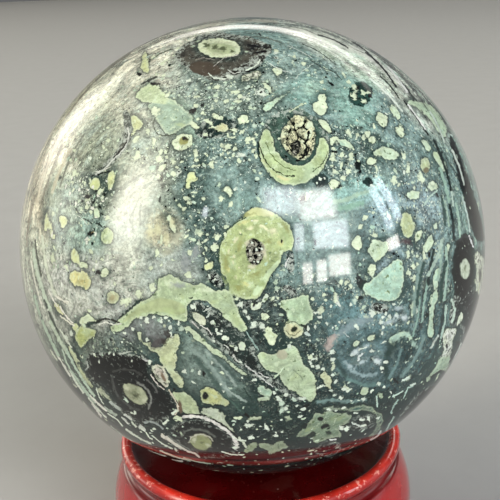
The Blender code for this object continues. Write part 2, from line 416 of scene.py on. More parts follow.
# Crisp pale areas, in the same form
PALE_AREAS = {
    "top wedge": (YELLOW, [
        143, 53, 146, 50, 147, 58, 148, 64, 150, 70, 148, 74, 143, 72, 141, 66, 142, 60]),
    "triangle": (rgb(198, 216, 176), [
        135, 97, 140, 90, 145, 86, 153, 84, 162, 90, 167, 96, 170, 103, 163, 107, 156, 104, 149, 103,
        142, 102]),
    "wedge": (rgb(158, 184, 164), [
        146, 104, 156, 102, 166, 102, 172, 98, 181, 106, 194, 118, 192, 124, 184, 128, 176, 134,
        168, 136, 161, 128, 153, 115]),
    "left of triangle": (YELLOW, [
        131, 116, 133, 113, 137, 117, 143, 122, 143, 126, 141, 131, 138, 130, 135, 134, 133, 137,
        131, 134, 133, 129, 131, 124]),
    "small orb": (CREAM, (183, 142, 10.5, 8, -25), 0.2),
    "capsule": (CREAM, [
        187, 118, 189, 117, 194, 121, 199, 127, 201, 128, 196, 129, 190, 126, 187, 122]),
    "shoulder yellow": (YELLOW, [
        191, 171, 194, 174, 196, 178, 198, 179, 196, 181, 191, 181, 189, 184, 190, 189, 187, 188,
        186, 182, 187, 176]),
    "left yellow a": (YELLOW, (95, 184, 4.5, 6, 0)),
    "left yellow b": (YELLOW, (111, 180, 3.5, 10, 8)),
    "top core": (rgb(216, 226, 192), (219, 48, 21, 9.3, 5), 0.0),
    "top white": (rgb(216, 220, 204), [
        241, 75, 247, 73, 253, 71, 261, 69, 261, 78, 254, 79, 247, 81, 241, 81], 0.9),
    "top spot": (CREAM, [272, 68, 281, 68, 282, 72, 278, 77, 274, 73]),
    "top arc": (MINT, [
        262, 108, 268, 103, 276, 98, 284, 94, 291, 90, 286, 96, 278, 102, 271, 107, 265, 112]),
    "upper right spot": (CREAM, (320, 108, 6.5, 6.5, 0)),
    "upper right spot above": (CREAM, (322, 98, 4, 4, 0)),
    "upper a": (CREAM, [211, 115, 214, 112, 217, 113, 220, 116, 224, 117, 222, 119, 215, 119]),
    "upper b": (CREAM, [238, 119, 241, 117, 245, 115, 249, 117, 247, 121, 243, 123, 239, 123]),
    "upper tan": (rgb(208, 208, 164), [
        211, 128, 216, 126, 220, 123, 226, 124, 228, 127, 228, 130, 224, 132, 220, 132, 215, 130]),
    "white spot": (CREAM, [
        224, 189, 226, 186, 229, 187, 231, 190, 232, 194, 231, 197, 228, 194, 225, 191]),
    "crescent": (rgb(178, 196, 150), [
        262, 133, 267, 128, 271, 133, 273, 145, 278, 155, 285, 162, 293, 165, 303, 166, 311, 162,
        316, 155, 318, 145, 319, 138, 323, 138, 328, 143, 329, 154, 325, 166, 317, 175, 306, 183,
        292, 185.5, 279, 182.5, 268, 174, 261, 161, 258.5, 147]),
    "crescent core": (rgb(228, 226, 186), [
        284, 127, 290, 120, 297, 115, 306, 117, 313, 124, 316, 134, 315, 146, 311, 156, 303, 161,
        294, 158, 286, 152, 281, 142, 281, 133], 0.9),
    "band a": (CREAM, [317, 119, 321, 119, 327, 122, 331, 128, 332, 132, 329, 133, 325, 129, 321, 125]),
    "band b": (CREAM, [330, 138, 336, 136, 338, 139, 334, 142, 332, 147, 330, 144]),
    "band c": (PALE, [337, 141, 343, 139, 348, 141, 352, 145, 354, 149, 350, 148, 344, 145, 339, 143]),
    "right a": (CREAM, [
        375, 114, 379, 111, 383, 114, 387, 118, 388, 122, 386, 128, 382, 127, 378, 123, 376, 119]),
    "right b": (CREAM, [394, 127, 398, 126, 402, 129, 404, 134, 403, 138, 399, 136, 396, 132]),
    "right c": (PALE, [
        372, 152, 377, 149, 383, 146, 389, 148, 396, 151, 400, 154, 398, 158, 392, 160, 385, 160,
        380, 156, 375, 157]),
    "right d": (CREAM, [366, 163, 369, 159, 372, 158, 377, 160, 374, 163, 369, 165]),
    "right e": (CREAM, [330, 180, 337, 180, 340, 183, 337, 187, 333, 190, 330, 188]),
    "right f": (PALE, (395, 111, 3, 8, -32)),
    "right g": (CREAM, (372, 140, 4, 3.5, 40)),
    "edge long": (rgb(190, 214, 184), [
        405, 100, 418, 101, 432, 106, 444, 121, 447, 133, 444, 138, 440, 134, 432, 122, 420, 110]),
    "edge a": (PALE, [421, 138, 425, 138, 430, 143, 431, 149, 429, 152, 425, 148]),
    "edge b": (PALE, [432, 151, 437, 154, 442, 159, 447, 165, 446, 171, 442, 170, 437, 163, 433, 157]),
    "edge c": (rgb(176, 186, 150), (425, 165, 4.5, 7, -10)),
    "edge d": (PALE, (432.5, 186, 4.5, 5.5, 0)),
    "edge e": (PALE, (413, 195, 6, 4.5, 0)),
    "left letter": (YELLOW, [
        47, 210, 48, 216, 51, 225, 52, 230, 55, 237, 53, 240, 50, 236, 48, 227, 45, 232, 44, 221,
        46, 216]),
    "left h": (YELLOW, [58, 218, 60, 216, 66, 217, 69, 223, 66, 225, 62, 229, 61, 224]),
    "left i": (YELLOW, (75, 256, 4.5, 7, -10)),
    "left j": (CREAM, [78, 265, 81, 262, 86, 262, 89, 269, 87, 270, 84, 267, 82, 268]),
    "left k": (rgb(226, 222, 160), [
        70, 276, 73, 270, 79, 272, 85, 270, 90, 277, 91, 285, 87, 290, 82, 288, 76, 285, 71, 281]),
    "left l": (CREAM, [101, 271, 104, 269, 106, 267, 109, 274, 105, 277, 103, 278]),
    "left m": (PALE, [94, 208, 97, 208, 100, 216, 97, 218, 94, 216]),
    "left blob": (rgb(170, 188, 140), (107, 236, 6.5, 8, 0)),
    "left pale brown": (rgb(176, 178, 146), (112, 298, 6, 6, 0)),
    "left n": (CREAM, [
        79, 323, 80, 318, 84, 316, 88, 314, 90, 316, 93, 319, 97, 320, 92, 321, 87, 322, 84, 325]),
    "left o": (YELLOW, [73, 325, 77, 324, 78, 327, 76, 331, 73, 330]),
    "left olive": (rgb(180, 192, 124), [
        76, 330, 82, 327, 88, 328, 93, 330, 97, 332, 94, 337, 88, 341, 84, 345, 82, 348, 79, 347,
        77, 341, 75, 336]),
    "left band": (rgb(230, 230, 176), [53, 303, 58, 303, 62, 309, 64, 314, 60, 313, 56, 309]),
    "tan strip": (CREAM, [
        167, 216, 170, 214, 172, 221, 175, 229, 177, 231, 175, 235, 170, 228, 167, 219]),
    "hook": (CREAM, [177, 204, 180, 203, 182, 207, 188, 208, 183, 214, 179, 208]),
    "lemon": (YELLOW, [204, 267, 206, 264, 212, 260, 214, 263, 213, 268, 209, 270, 206, 270]),
    "big patch": (rgb(180, 200, 162), [
        137, 305, 143, 301, 150, 298, 157, 292, 160, 291, 158, 285, 158, 280, 162, 276, 168, 274,
        174, 276, 179, 280, 186, 283, 195, 284, 203, 284, 210, 288, 218, 292, 226, 289, 232, 292,
        235, 302, 238, 310, 241, 318, 244, 325, 247, 331, 241, 331, 236, 328, 231, 323, 227, 319,
        223, 317, 222, 313, 218, 310, 212, 306, 206, 302, 200, 299, 193, 300, 188, 303, 186, 308,
        188, 314, 187, 320, 183, 321, 178, 320, 172, 317, 165, 315, 160, 315, 156, 313, 150, 314,
        143, 316, 136, 318, 131, 322, 127, 327, 121, 330, 113, 331, 108, 328, 113, 325, 119, 321,
        125, 315, 131, 309]),
    "central orb": (rgb(178, 194, 140), [
        246, 218, 238, 220, 232, 226, 226, 232, 222, 239, 219, 247, 218, 255, 219, 263, 221, 271,
        226, 279, 229, 285, 231, 292, 236, 296, 242, 298, 250, 299, 258, 297, 262, 293, 265, 285,
        270, 276, 277, 270, 280, 262, 281, 255, 286, 250, 292, 249, 293, 240, 292, 231, 287, 222,
        280, 217, 272, 213, 265, 210, 255, 211, 250, 214]),
    "right of orb a": (CREAM, [
        352, 246, 353, 241, 356, 236, 360, 235, 362, 240, 362, 247, 360, 249, 355, 248]),
    "right cluster": (PALE, [
        371, 243, 374, 240, 379, 239, 383, 242, 387, 242, 388, 248, 386, 253, 378, 261, 374, 260,
        371, 257, 366, 251, 369, 248]),
    "right long": (CREAM, (371.5, 270, 3.3, 6.5, 0)),
    "right mint": (rgb(176, 210, 190), [
        393, 261, 399, 260, 403, 263, 404, 282, 401, 293, 398, 299, 390, 302, 375, 299, 368, 296,
        364, 290, 364, 286, 370, 281, 383, 270, 388, 266]),
    "far right a": (rgb(190, 200, 150), [
        402, 213, 407, 212, 411, 216, 416, 226, 413, 233, 409, 238, 404, 237, 401, 230]),
    "far right b": (CREAM, [415, 239, 418, 231, 421, 231, 421, 236, 416, 243]),
    "far right c": (PALE, [432, 226, 436, 221, 438, 225, 437, 230, 433, 230]),
    "far right d": (PALE, [430, 233, 433, 236, 433, 243, 430, 250, 425, 252, 422, 249, 425, 244]),
    "far right streak": (PALE, [448, 243, 450, 245, 448, 252, 446, 258, 444, 257]),
    "far right long": (MINT, [
        436, 270, 440, 268, 440, 274, 437, 281, 438, 290, 438, 298, 435, 305, 434, 312, 433, 318,
        434, 325, 433, 332, 432, 337, 428, 336, 428, 328, 429, 320, 430, 312, 428, 309, 431, 306,
        431, 298, 435, 291, 434, 285, 432, 283]),
    "far right left": (PALE, [414, 300, 417, 297, 414, 306, 413, 318, 411, 318, 411, 308, 408, 309]),
    "edge white": (rgb(220, 226, 208), [
        474, 252, 478, 252, 485, 258, 487, 280, 483, 300, 478, 293, 475, 285, 476, 270], 0.6),
    "mint hoop": (MINT, [
        391, 346, 390, 340, 394, 335, 400, 332, 405, 331, 411, 333, 413, 339, 409, 341, 405, 336,
        400, 337, 396, 342, 394, 348]),
    "corner white": (rgb(242, 248, 238), [
        442, 330, 447, 327, 449, 329, 455, 328, 459, 329, 456, 333, 454, 337, 452, 341, 453, 348,
        450, 355, 444, 357, 442, 357, 444, 352, 444, 345, 443, 340, 442, 335], 0.7),
    "corner mint": (rgb(180, 206, 180), [
        442, 357, 450, 355, 449, 360, 451, 362, 449, 368, 447, 375, 446, 372, 444, 370, 440, 371,
        436, 373, 431, 377, 427, 382, 426, 380, 430, 374, 434, 369, 438, 364, 438, 359]),
    "corner flame": (WHITE, [461, 311, 463, 315, 462, 319, 458, 324, 456, 326, 457, 320, 460, 316]),
    "below orb patch": (rgb(170, 194, 162), [
        280, 305, 282, 301, 286, 300, 292, 299, 298, 297, 303, 295, 308, 295, 309, 300, 310, 305,
        313, 311, 314, 315, 312, 319, 308, 322, 305, 325, 302, 330, 296, 328, 288, 324, 289, 316,
        287, 312, 284, 309]),
    "ringed orb": (rgb(196, 196, 160), (293, 329, 9.3, 9.3, 0), 0.2),
    "low big patch": (rgb(196, 216, 180), [
        257, 357, 259, 353, 262, 351, 265, 353, 270, 354, 276, 353, 281, 350, 285, 350, 288, 349,
        290, 345, 293, 346, 297, 349, 300, 354, 301, 359, 304, 364, 308, 367, 311, 371, 314, 376,
        316, 382, 316, 388, 315, 394, 314, 401, 311, 402, 305, 399, 299, 395, 292, 390, 286, 387,
        282, 383, 279, 377, 276, 373, 271, 372, 266, 370, 262, 366, 261, 361]),
    "low mint": (MINT, [
        258, 387, 262, 386, 266, 388, 271, 390, 272, 394, 269, 397, 264, 397, 259, 395]),
    "low mint foot": (PALE, (264, 399, 6, 2, -5)),
    "fork": (rgb(200, 210, 170), [
        134, 333, 137, 332, 140, 332, 141, 335, 141, 339, 143, 343, 146, 343, 152, 343, 150, 347,
        155, 348, 160, 348, 163, 346, 165, 343, 166, 340, 170, 338, 174, 337, 175, 334, 178, 334,
        180, 338, 180, 343, 179, 350, 175, 352, 176, 356, 177, 360, 175, 366, 174, 370, 178, 374,
        182, 379, 184, 384, 184, 388, 180, 389, 177, 387, 174, 382, 170, 375, 167, 369, 163, 365,
        160, 360, 157, 354, 152, 351, 147, 347, 142, 344, 140, 341, 138, 338, 136, 334]),
    "white oval": (rgb(222, 216, 204), [
        151, 366, 155, 365, 161, 366, 165, 370, 169, 378, 170, 384, 167, 388, 163, 387, 158, 383,
        154, 377, 152, 371], 0.6),
    "long vein": (rgb(188, 206, 176), [
        184, 329, 188, 326, 192, 329, 198, 334, 204, 340, 210, 346, 216, 350, 223, 354, 230, 361,
        236, 367, 243, 371, 250, 376, 247, 377, 241, 374, 234, 369, 228, 363, 221, 357, 213, 353,
        207, 347, 200, 341, 195, 340, 194, 336, 189, 331]),
    "pale by lower eyes": (rgb(200, 216, 174), [
        171, 391, 178, 392, 188, 393, 192, 396, 195, 402, 198, 408, 200, 412, 197, 414, 188, 414,
        182, 411, 178, 404, 174, 397]),
    "yellow with hole": (rgb(202, 208, 148), [
        200, 392, 203, 390, 208, 386, 213, 389, 219, 392, 224, 397, 227, 401, 229, 404, 226, 407,
        222, 404, 215, 404, 206, 404, 201, 400], 0.2),
    "white above lowest eye": (rgb(226, 238, 216), [
        203, 407, 213, 409, 222, 412, 226, 416, 225, 420, 230, 427, 236, 433, 232, 432, 224, 425,
        216, 420, 208, 417, 200, 414]),
    "bottom a": (rgb(180, 200, 160), [
        244, 451, 249, 445, 254, 441, 257, 445, 255, 450, 249, 453, 245, 453]),
    "bottom b": (rgb(184, 204, 170), [
        258, 444, 262, 443, 268, 443, 272, 446, 276, 443, 280, 441, 285, 442, 289, 447, 284, 449,
        279, 451, 273, 453, 269, 454, 266, 450, 261, 448]),
    "bottom patch": (rgb(150, 174, 146), [
        313, 415, 317, 413, 322, 414, 328, 411, 336, 412, 345, 414, 352, 415, 351, 419, 348, 423,
        342, 426, 340, 430, 342, 437, 336, 438, 328, 438, 322, 441, 317, 444, 312, 441, 314, 434,
        309, 434, 306, 438, 296, 436, 300, 431, 303, 426, 308, 423, 312, 419]),
    "bottom hoop": (rgb(64, 98, 92), [
        318, 408, 335, 407, 350, 408, 362, 405, 372, 407, 381, 413, 384, 421, 380, 431, 372, 438,
        368, 438, 375, 430, 378, 422, 376, 415, 368, 411, 355, 411, 335, 411]),
    "star": (PALE, [284, 416, 290, 415, 291, 418, 294, 421, 289, 420, 287, 422, 286, 420]),
    "low dash": (CREAM, [247, 419, 251, 417, 257, 416, 262, 416, 263, 419, 258, 420, 250, 420]),
    "low cream": (rgb(204, 208, 168), [
        322, 374, 325, 372, 328, 375, 331, 378, 332, 382, 330, 384, 332, 389, 330, 391, 326, 387,
        325, 382, 322, 379, 320, 376]),
    "cloud a": (PALE, [352, 348, 353, 344, 356, 341, 359, 340, 360, 343, 357, 347, 354, 348]),
    "cloud b": (WHITE, [350, 354, 351, 352, 356, 353, 359, 351, 358, 354, 353, 357, 351, 357]),
    "cloud c": (rgb(206, 222, 216), [370, 358, 376, 358, 380, 360, 381, 363, 378, 365, 375, 362]),
    "cloud d": (CREAM, (371.5, 337.5, 5, 3.2, -30)),
    "low bead": (PALE, [361, 391, 363, 388, 366, 386, 368, 388, 367, 393, 364, 396, 361, 394]),
    "low green": (rgb(180, 206, 172), [376, 395, 380, 391, 382, 393, 384, 397, 381, 398, 378, 396]),
    "dots a": (WHITE, [251, 306, 252, 303, 256, 305, 260, 302, 262, 305, 260, 309, 255, 311, 251, 309]),
    "dots b": (CREAM, [262, 311, 265, 313, 269, 316, 268, 318, 265, 320, 262, 319, 261, 315]),
    "dots c": (CREAM, [
        266, 328, 271, 327, 272, 331, 276, 334, 278, 336, 276, 339, 274, 344, 271, 345, 269, 341,
        267, 337, 263, 335, 264, 334, 268, 333, 266, 331]),
    "triangle under orb": (rgb(190, 202, 200), [
        262, 301, 264, 297, 266, 293, 268, 297, 266, 301, 263, 302]),
    "band speck": (rgb(200, 206, 186), [
        193, 311, 199, 314, 206, 318, 206, 324, 202, 325, 199, 322, 195, 319, 192, 315]),
    "band blob": (WHITE, (241.5, 346, 4, 4.4, 20)),
    "band white": (WHITE, [222, 337, 224, 336, 229, 337, 229, 339, 226, 341, 223, 339]),
    "eye rim left": (rgb(196, 206, 166), [
        69, 345, 71, 349, 75, 355, 77, 360, 80, 366, 83, 373, 88, 380, 94, 387, 92, 388, 85, 381,
        80, 375, 76, 366, 72, 358, 69, 351]),
    "eye rim low": (rgb(206, 214, 190), [
        95, 386, 100, 388, 101, 385, 102, 390, 106, 395, 113, 401, 111, 403, 103, 397, 98, 394]),
}

# Areas inside the ones above
INNER_AREAS = {
    "top core holes": (rgb(176, 190, 150), (221, 48.5, 15, 5.4, 6)),
    "top brown": (rgb(76, 68, 58), (205, 69, 16, 7, 8)),
    "small orb heart": (rgb(150, 152, 96), (183.5, 141, 5, 4.2, -20)),
    "crescent cream": (rgb(198, 196, 150), [
        261, 155, 266, 165, 273, 172, 281, 177, 290, 179, 290, 181, 280, 179, 270, 171, 262, 160]),
    "core cracks": (rgb(30, 32, 28), (296, 148, 5, 8, 20), 0.6),
    "core cream": (CREAM, (309, 130, 4, 9, 10)),
    "orb mint": (rgb(196, 216, 176), [
        252, 292, 259, 284, 265, 274, 272, 266, 279, 259, 279, 264, 275, 270, 269, 276, 264, 285,
        260, 293, 254, 297]),
    "orb top": (rgb(202, 208, 156), [
        244, 217, 247, 212, 253, 208, 262, 208, 268, 211, 276, 215, 268, 217, 258, 215, 250, 217]),
    "orb hole": (BLACK, [
        249, 240, 254, 238, 260, 241, 265, 247, 264, 256, 260, 264, 254, 266, 248, 263, 246, 255,
        246, 247], 0.9),
    "edge eye heart": (rgb(196, 208, 186), (465, 269, 4.7, 10, 0)),
    "lower eye heart": (rgb(178, 186, 156), [
        122, 385, 130, 383, 138, 386, 144, 391, 147, 398, 146, 404, 140, 405, 133, 402, 127, 397,
        123, 391]),
    "lowest eye heart": (rgb(186, 194, 142), (201, 442, 11, 7.6, 14)),
    "low edge eye heart": (rgb(190, 196, 168), [
        431, 395, 428, 401, 422, 408, 417, 411, 419, 404, 425, 398]),
    "ring hole": (rgb(16, 30, 12), (294, 329.5, 3.4, 2.1, -30)),
    "patch fawn": (rgb(184, 186, 160), (282, 355, 6, 5, 20)),
    "yellow hole": (BLACK, (205, 396, 3, 3.7, 10)),
    "bottom hole a": (BLACK, (320.5, 419, 3, 2, 0)),
    "bottom hole b": (BLACK, [320, 427, 323, 424, 328, 423, 331, 427, 326, 428, 322, 430]),
    "bottom hole c": (rgb(40, 60, 48), (313, 434, 3.2, 3.2, 0)),
    "bottom hole d": (rgb(40, 60, 48), (329, 433, 3, 2, 0)),
    "bottom slit": (rgb(30, 44, 28), (279, 446, 1.2, 3.4, 0)),
    "oval brown": (rgb(128, 108, 88), [159, 370, 162, 373, 165, 378, 167, 382, 164, 382, 161, 377]),
    "left orange": (rgb(196, 188, 128), (82, 281, 2.6, 2, 20)),
    "left tan heart": (rgb(160, 156, 122), (112, 298, 2.6, 2.6, 0)),
    "left pit": (BLACK, [87, 236, 88, 233, 91, 231, 94, 230, 96, 231, 95, 234, 89, 236]),
    "patch brown": (rgb(112, 92, 74), (180, 407, 2, 7, -8)),
    "edge slit": (rgb(60, 76, 62), (435, 120, 1, 2.6, -20)),
    "corner drop": (BLACK, [454, 341, 460, 341, 459, 345, 456, 346]),
    "edge white slit": (rgb(40, 46, 40), (480, 275, 1.2, 7, 0)),
    "edge c shade": (rgb(110, 104, 78), (426, 170, 3, 2.5, 0)),
    "smoky lime": (rgb(174, 192, 142), (172, 309, 14, 5, 10)),
    "olive arm": (rgb(172, 186, 142), [
        150, 301, 160, 297, 172, 300, 184, 304, 185, 316, 172, 314, 160, 311, 146, 312, 132, 316,
        122, 324, 124, 319, 134, 310]),
}

# Thin strokes: colour, half width, x, y pairs along the stroke
STROKES = [
    (WHITE, 0.7, [246, 70, 250, 69, 254, 67, 258, 64, 260, 60]),
    (BLACK, 0.8, [247, 72, 252, 71, 256, 69, 260, 66]),
    (rgb(190, 190, 180), 0.35, [214, 66, 219, 62, 224, 58, 230, 57, 238, 55]),
    (rgb(150, 146, 136), 0.35, [195, 60, 204, 58, 214, 60]),
    (WHITE, 0.6, [209, 74, 214, 78, 222, 79, 230, 78]),
    (rgb(200, 204, 196), 0.5, [228, 70, 234, 74, 240, 72]),
    (rgb(210, 216, 208), 0.8, [
        128, 128, 129, 134, 128, 140, 124, 149, 116, 157, 108, 165, 102, 171, 96, 174]),
    (BLACK, 0.6, [127, 141, 122, 149, 114, 157]),
    (rgb(60, 70, 52), 0.45, [155, 118, 153, 124, 156, 133, 162, 136, 176, 134]),
    (rgb(44, 52, 30), 0.5, [260, 147, 264, 158, 270, 167, 277, 172, 286, 176, 294, 176]),
    (rgb(56, 66, 36), 0.4, [328, 152, 325, 160, 319, 167, 312, 172]),
    (rgb(96, 112, 60), 0.4, [266, 142, 270, 153, 277, 162, 286, 168, 296, 170]),
    (rgb(228, 228, 222), 1.5, [
        183, 417, 190, 416.5, 197, 417, 205, 418.5, 212, 421.5, 219, 425.5, 226, 430, 231, 435,
        235, 439]),
    (rgb(228, 228, 222), 2.3, [234, 438, 236, 442, 237, 446, 236, 448]),
    (BLACK, 0.5, [176, 415.5, 186, 414.6, 197, 414.5, 206, 416]),
    (BLACK, 0.6, [213, 419.5, 220, 423, 228, 429, 235, 435, 240, 441]),
    (rgb(206, 216, 196), 1.3, [239, 438, 243, 442, 246, 447]),
    (rgb(224, 222, 210), 1.7, [162, 435.5, 168, 439.5, 174, 444, 181, 448]),
    (rgb(224, 222, 210), 1.0, [181, 448, 188, 451.5, 195, 454, 199, 457]),
    (rgb(120, 126, 120), 0.5, [168, 436, 174, 441, 182, 446, 190, 450]),
    (WHITE, 1.2, [163.5, 424, 167.5, 420.5]),
    (rgb(150, 160, 158), 1.0, [145, 423, 150, 422, 157, 424, 163, 429]),
    (rgb(216, 224, 216), 1.7, [140, 427, 144, 430]),
    (WHITE, 1.0, [132, 423, 136, 427]),
    (rgb(216, 224, 216), 1.3, [125, 415, 131, 419.5]),
    (rgb(180, 192, 184), 1.5, [110, 402, 115, 406, 120, 410]),
    (rgb(170, 184, 170), 1.6, [104, 408, 110, 412, 115, 415]),
    (rgb(200, 208, 200), 1.0, [122, 418, 128, 424]),
    (rgb(222, 216, 196), 0.8, [169, 390, 173, 396, 177, 404, 178, 411, 175, 415]),
    (WHITE, 1.5, [173, 414, 176, 411]),
    (CREAM, 2.4, [176, 418, 180, 419]),
    (BLACK, 0.9, [152, 372, 155, 379, 160, 384, 164, 387.5]),
    (rgb(210, 204, 196), 0.6, [151, 375, 154, 381, 159, 386, 164, 389.5]),
    (rgb(190, 192, 190), 0.9, [142, 359, 147, 361]),
    (WHITE, 1.2, [149.5, 361, 149.5, 364]),
    (rgb(190, 200, 190), 0.9, [120, 354.5, 125, 353, 130, 352]),
    (rgb(170, 180, 174), 0.8, [87, 362, 88, 367, 85, 370]),
    (rgb(236, 236, 220), 0.9, [57, 296.5, 63, 300.5, 67, 303]),
    (rgb(236, 236, 220), 0.8, [60, 316, 67, 321, 74, 326]),
    (rgb(214, 220, 200), 0.8, [61, 368, 66, 376, 70, 382, 76, 387]),
    (rgb(50, 56, 44), 1.2, [62, 371, 66, 377, 72, 383]),
    (rgb(210, 218, 200), 0.8, [50, 350, 55, 358, 60, 365]),
    (rgb(30, 38, 32), 1.0, [76, 389, 82, 395, 88, 402]),
    (rgb(224, 226, 218), 0.6, [201, 325, 207, 329, 212, 334]),
    (rgb(200, 202, 196), 0.8, [192, 322, 198, 328]),
    (rgb(180, 190, 180), 0.7, [203, 311, 211, 308]),
    (rgb(196, 206, 196), 1.0, [206.5, 317.5, 210, 314]),
    (WHITE, 1.0, [195, 304, 195.5, 310]),
    (rgb(218, 224, 216), 0.6, [224, 345, 229, 349]),
    (rgb(208, 212, 208), 0.7, [246, 366, 252, 370, 258, 375, 263, 379, 269, 384, 273, 387]),
    (rgb(208, 212, 208), 0.6, [259, 373, 264, 376, 268, 378]),
    (WHITE, 1.2, [253, 380.5, 256, 380]),
    (rgb(214, 218, 210), 0.7, [233, 355, 236, 360, 239, 362]),
    (rgb(150, 176, 168), 0.9, [246, 332, 251, 339, 255, 346, 258, 350]),
    (rgb(216, 236, 206), 0.7, [274, 378, 279, 373, 284, 368]),
    (rgb(140, 160, 130), 0.4, [294, 370, 300, 376, 303, 380]),
    (rgb(40, 62, 54), 0.8, [244, 388, 247, 394, 252, 400]),
    (rgb(54, 78, 70), 0.6, [236, 404, 242, 411, 246, 415, 250, 416]),
    (BLACK, 1.2, [245.5, 415, 248.5, 416.2]),
    (rgb(70, 96, 88), 0.7, [226, 397, 234, 404, 241, 412]),
    (WHITE, 0.8, [359, 350, 363, 348, 367, 347]),
    (rgb(214, 224, 220), 1.0, [358, 361, 359, 357, 362, 354]),
    (rgb(190, 204, 200), 0.6, [344, 333, 349, 337]),
    (BLACK, 0.9, [394, 379.5, 398, 383]),
    (rgb(190, 214, 200), 0.8, [393, 396.5, 398, 394, 403, 391]),
    (rgb(190, 214, 200), 0.7, [376.5, 396, 377, 401, 377.5, 407]),
    (rgb(170, 196, 184), 0.7, [404, 398, 406, 393, 408, 388, 413, 386]),
    (rgb(30, 50, 48), 0.9, [401, 400, 396, 408, 392, 416, 387, 424]),
    (rgb(150, 176, 166), 0.8, [398, 400, 394, 406, 391, 413]),
    (rgb(160, 184, 172), 0.7, [394, 417, 390, 424, 386, 431]),
    (rgb(204, 214, 204), 0.8, [352, 423, 357, 425, 361, 427]),
    (rgb(224, 228, 222), 0.7, [330, 440, 336, 439.5]),
    (rgb(196, 206, 200), 1.0, [371, 440, 377, 437, 381, 432]),
    (rgb(210, 220, 210), 1.1, [461, 345, 457, 354, 452, 364]),
    (BLACK, 0.8, [458, 345, 454, 354, 450, 362]),
    (rgb(226, 230, 224), 1.1, [478, 308, 475, 319, 471, 330, 467, 336]),
    (BLACK, 0.8, [431, 377, 437, 373, 441, 371]),
    (rgb(190, 200, 190), 1.0, [431, 348, 435, 341, 438, 336]),
    (rgb(206, 222, 210), 1.2, [403, 380.5, 409, 378]),
    (rgb(206, 222, 210), 1.1, [411, 385.5, 415, 383.5]),
    (rgb(190, 210, 196), 1.0, [450, 186, 452, 195, 453, 205]),
    (rgb(214, 226, 214), 0.9, [452, 150, 459, 166, 464, 184]),
    (rgb(190, 210, 200), 0.8, [462, 196, 467, 214, 470, 232]),
    (rgb(206, 222, 208), 0.9, [430, 112, 438, 126, 444, 142]),
    (rgb(30, 44, 42), 1.2, [434, 140, 441, 156, 447, 174, 451, 190]),
    (rgb(158, 190, 172), 1.4, [440, 168, 445, 184, 449, 202]),
    (rgb(170, 200, 182), 1.2, [456, 204, 459, 222, 460, 238]),
    (rgb(28, 42, 42), 1.3, [450, 206, 453, 222, 454, 240]),
    (rgb(164, 194, 178), 1.3, [446, 248, 447, 264, 446, 282, 444, 300]),
    (rgb(150, 182, 168), 1.1, [430, 268, 427, 286, 424, 304, 422, 322]),
    (rgb(30, 48, 46), 1.3, [434, 250, 430, 268, 428, 284]),
    (rgb(140, 172, 160), 1.0, [420, 300, 418, 318, 413, 336]),
    (rgb(178, 204, 190), 1.0, [446, 306, 445, 322, 441, 338]),
    (rgb(214, 224, 212), 1.0, [38, 268, 42, 286, 48, 304, 55, 320]),
    (rgb(222, 232, 212), 1.5, [42, 236, 44, 256, 48, 276, 55, 296]),
    (rgb(206, 224, 204), 1.8, [33, 250, 36, 270, 42, 290, 50, 310]),
    (rgb(84, 92, 80), 0.8, [35, 240, 37, 258, 41, 276]),
    (rgb(236, 238, 224), 0.8, [31, 262, 35, 284, 41, 304]),
    (rgb(204, 222, 200), 1.7, [50, 322, 58, 338, 67, 353]),
    (rgb(226, 234, 218), 0.9, [60, 330, 66, 340, 71, 347]),
    (rgb(232, 236, 226), 1.0, [55, 352, 62, 364, 70, 376]),
    (rgb(186, 208, 190), 1.8, [72, 374, 82, 388, 94, 402]),
    (rgb(240, 242, 232), 0.9, [90, 396, 98, 404, 106, 411]),
    (rgb(236, 238, 228), 0.8, [66, 386, 74, 396, 82, 406]),
    (rgb(240, 240, 232), 1.0, [92, 404, 97, 411, 101, 417]),
    (rgb(180, 204, 184), 1.3, [34, 296, 40, 316, 48, 336, 58, 356]),
    (rgb(60, 76, 66), 0.9, [44, 300, 50, 316, 58, 332]),
    (rgb(190, 212, 194), 1.2, [66, 350, 74, 366, 84, 382, 94, 396]),
    (rgb(26, 34, 32), 1.4, [58, 362, 68, 380, 80, 398, 94, 414]),
    (rgb(206, 216, 206), 0.9, [84, 404, 94, 416, 106, 427]),
    (rgb(216, 224, 214), 0.9, [112, 428, 122, 436, 133, 443]),
    (rgb(240, 242, 234), 0.8, [118, 438, 124, 442]),
    (rgb(240, 242, 234), 0.9, [150, 452, 158, 455, 166, 457]),
    (rgb(240, 242, 234), 0.7, [172, 460, 182, 462]),
    (rgb(34, 40, 40), 0.7, [352, 42, 362, 48, 371, 56, 378, 64]),
    (rgb(34, 40, 40), 0.8, [366, 53, 378, 63, 388, 75, 396, 87]),
    (rgb(40, 48, 46), 0.6, [380, 76, 390, 86, 399, 98]),
    (rgb(34, 40, 40), 0.7, [398, 79, 407, 89, 414, 99]),
    (BLACK, 0.6, [288, 117, 293, 124, 295, 131, 299, 136]),
    (BLACK, 0.6, [299, 136, 296, 142, 292, 144]),
    (BLACK, 0.9, [299, 136, 304, 140, 307, 147, 304, 154]),
    (BLACK, 1.0, [303, 126, 309, 132, 308, 139, 304, 143]),
    (BLACK, 0.7, [295, 131, 301, 128, 306, 121]),
    (BLACK, 0.5, [286, 142, 290, 150, 296, 155]),
    (BLACK, 0.9, [309, 148, 306, 155, 300, 159]),
    (rgb(226, 226, 186), 0.6, [305, 133, 311, 128, 314, 133, 311, 139]),
    (WHITE, 0.9, [70, 372, 76, 383, 83, 393]),
    (WHITE, 0.6, [96, 388, 99, 397, 103, 404]),
    (WHITE, 0.8, [88, 398, 97, 409, 106, 418]),
    (WHITE, 0.7, [108, 414, 117, 420, 122, 426]),
    (WHITE, 0.9, [126, 430, 138, 438, 150, 444]),
    (WHITE, 0.7, [152, 436, 162, 444, 172, 449]),
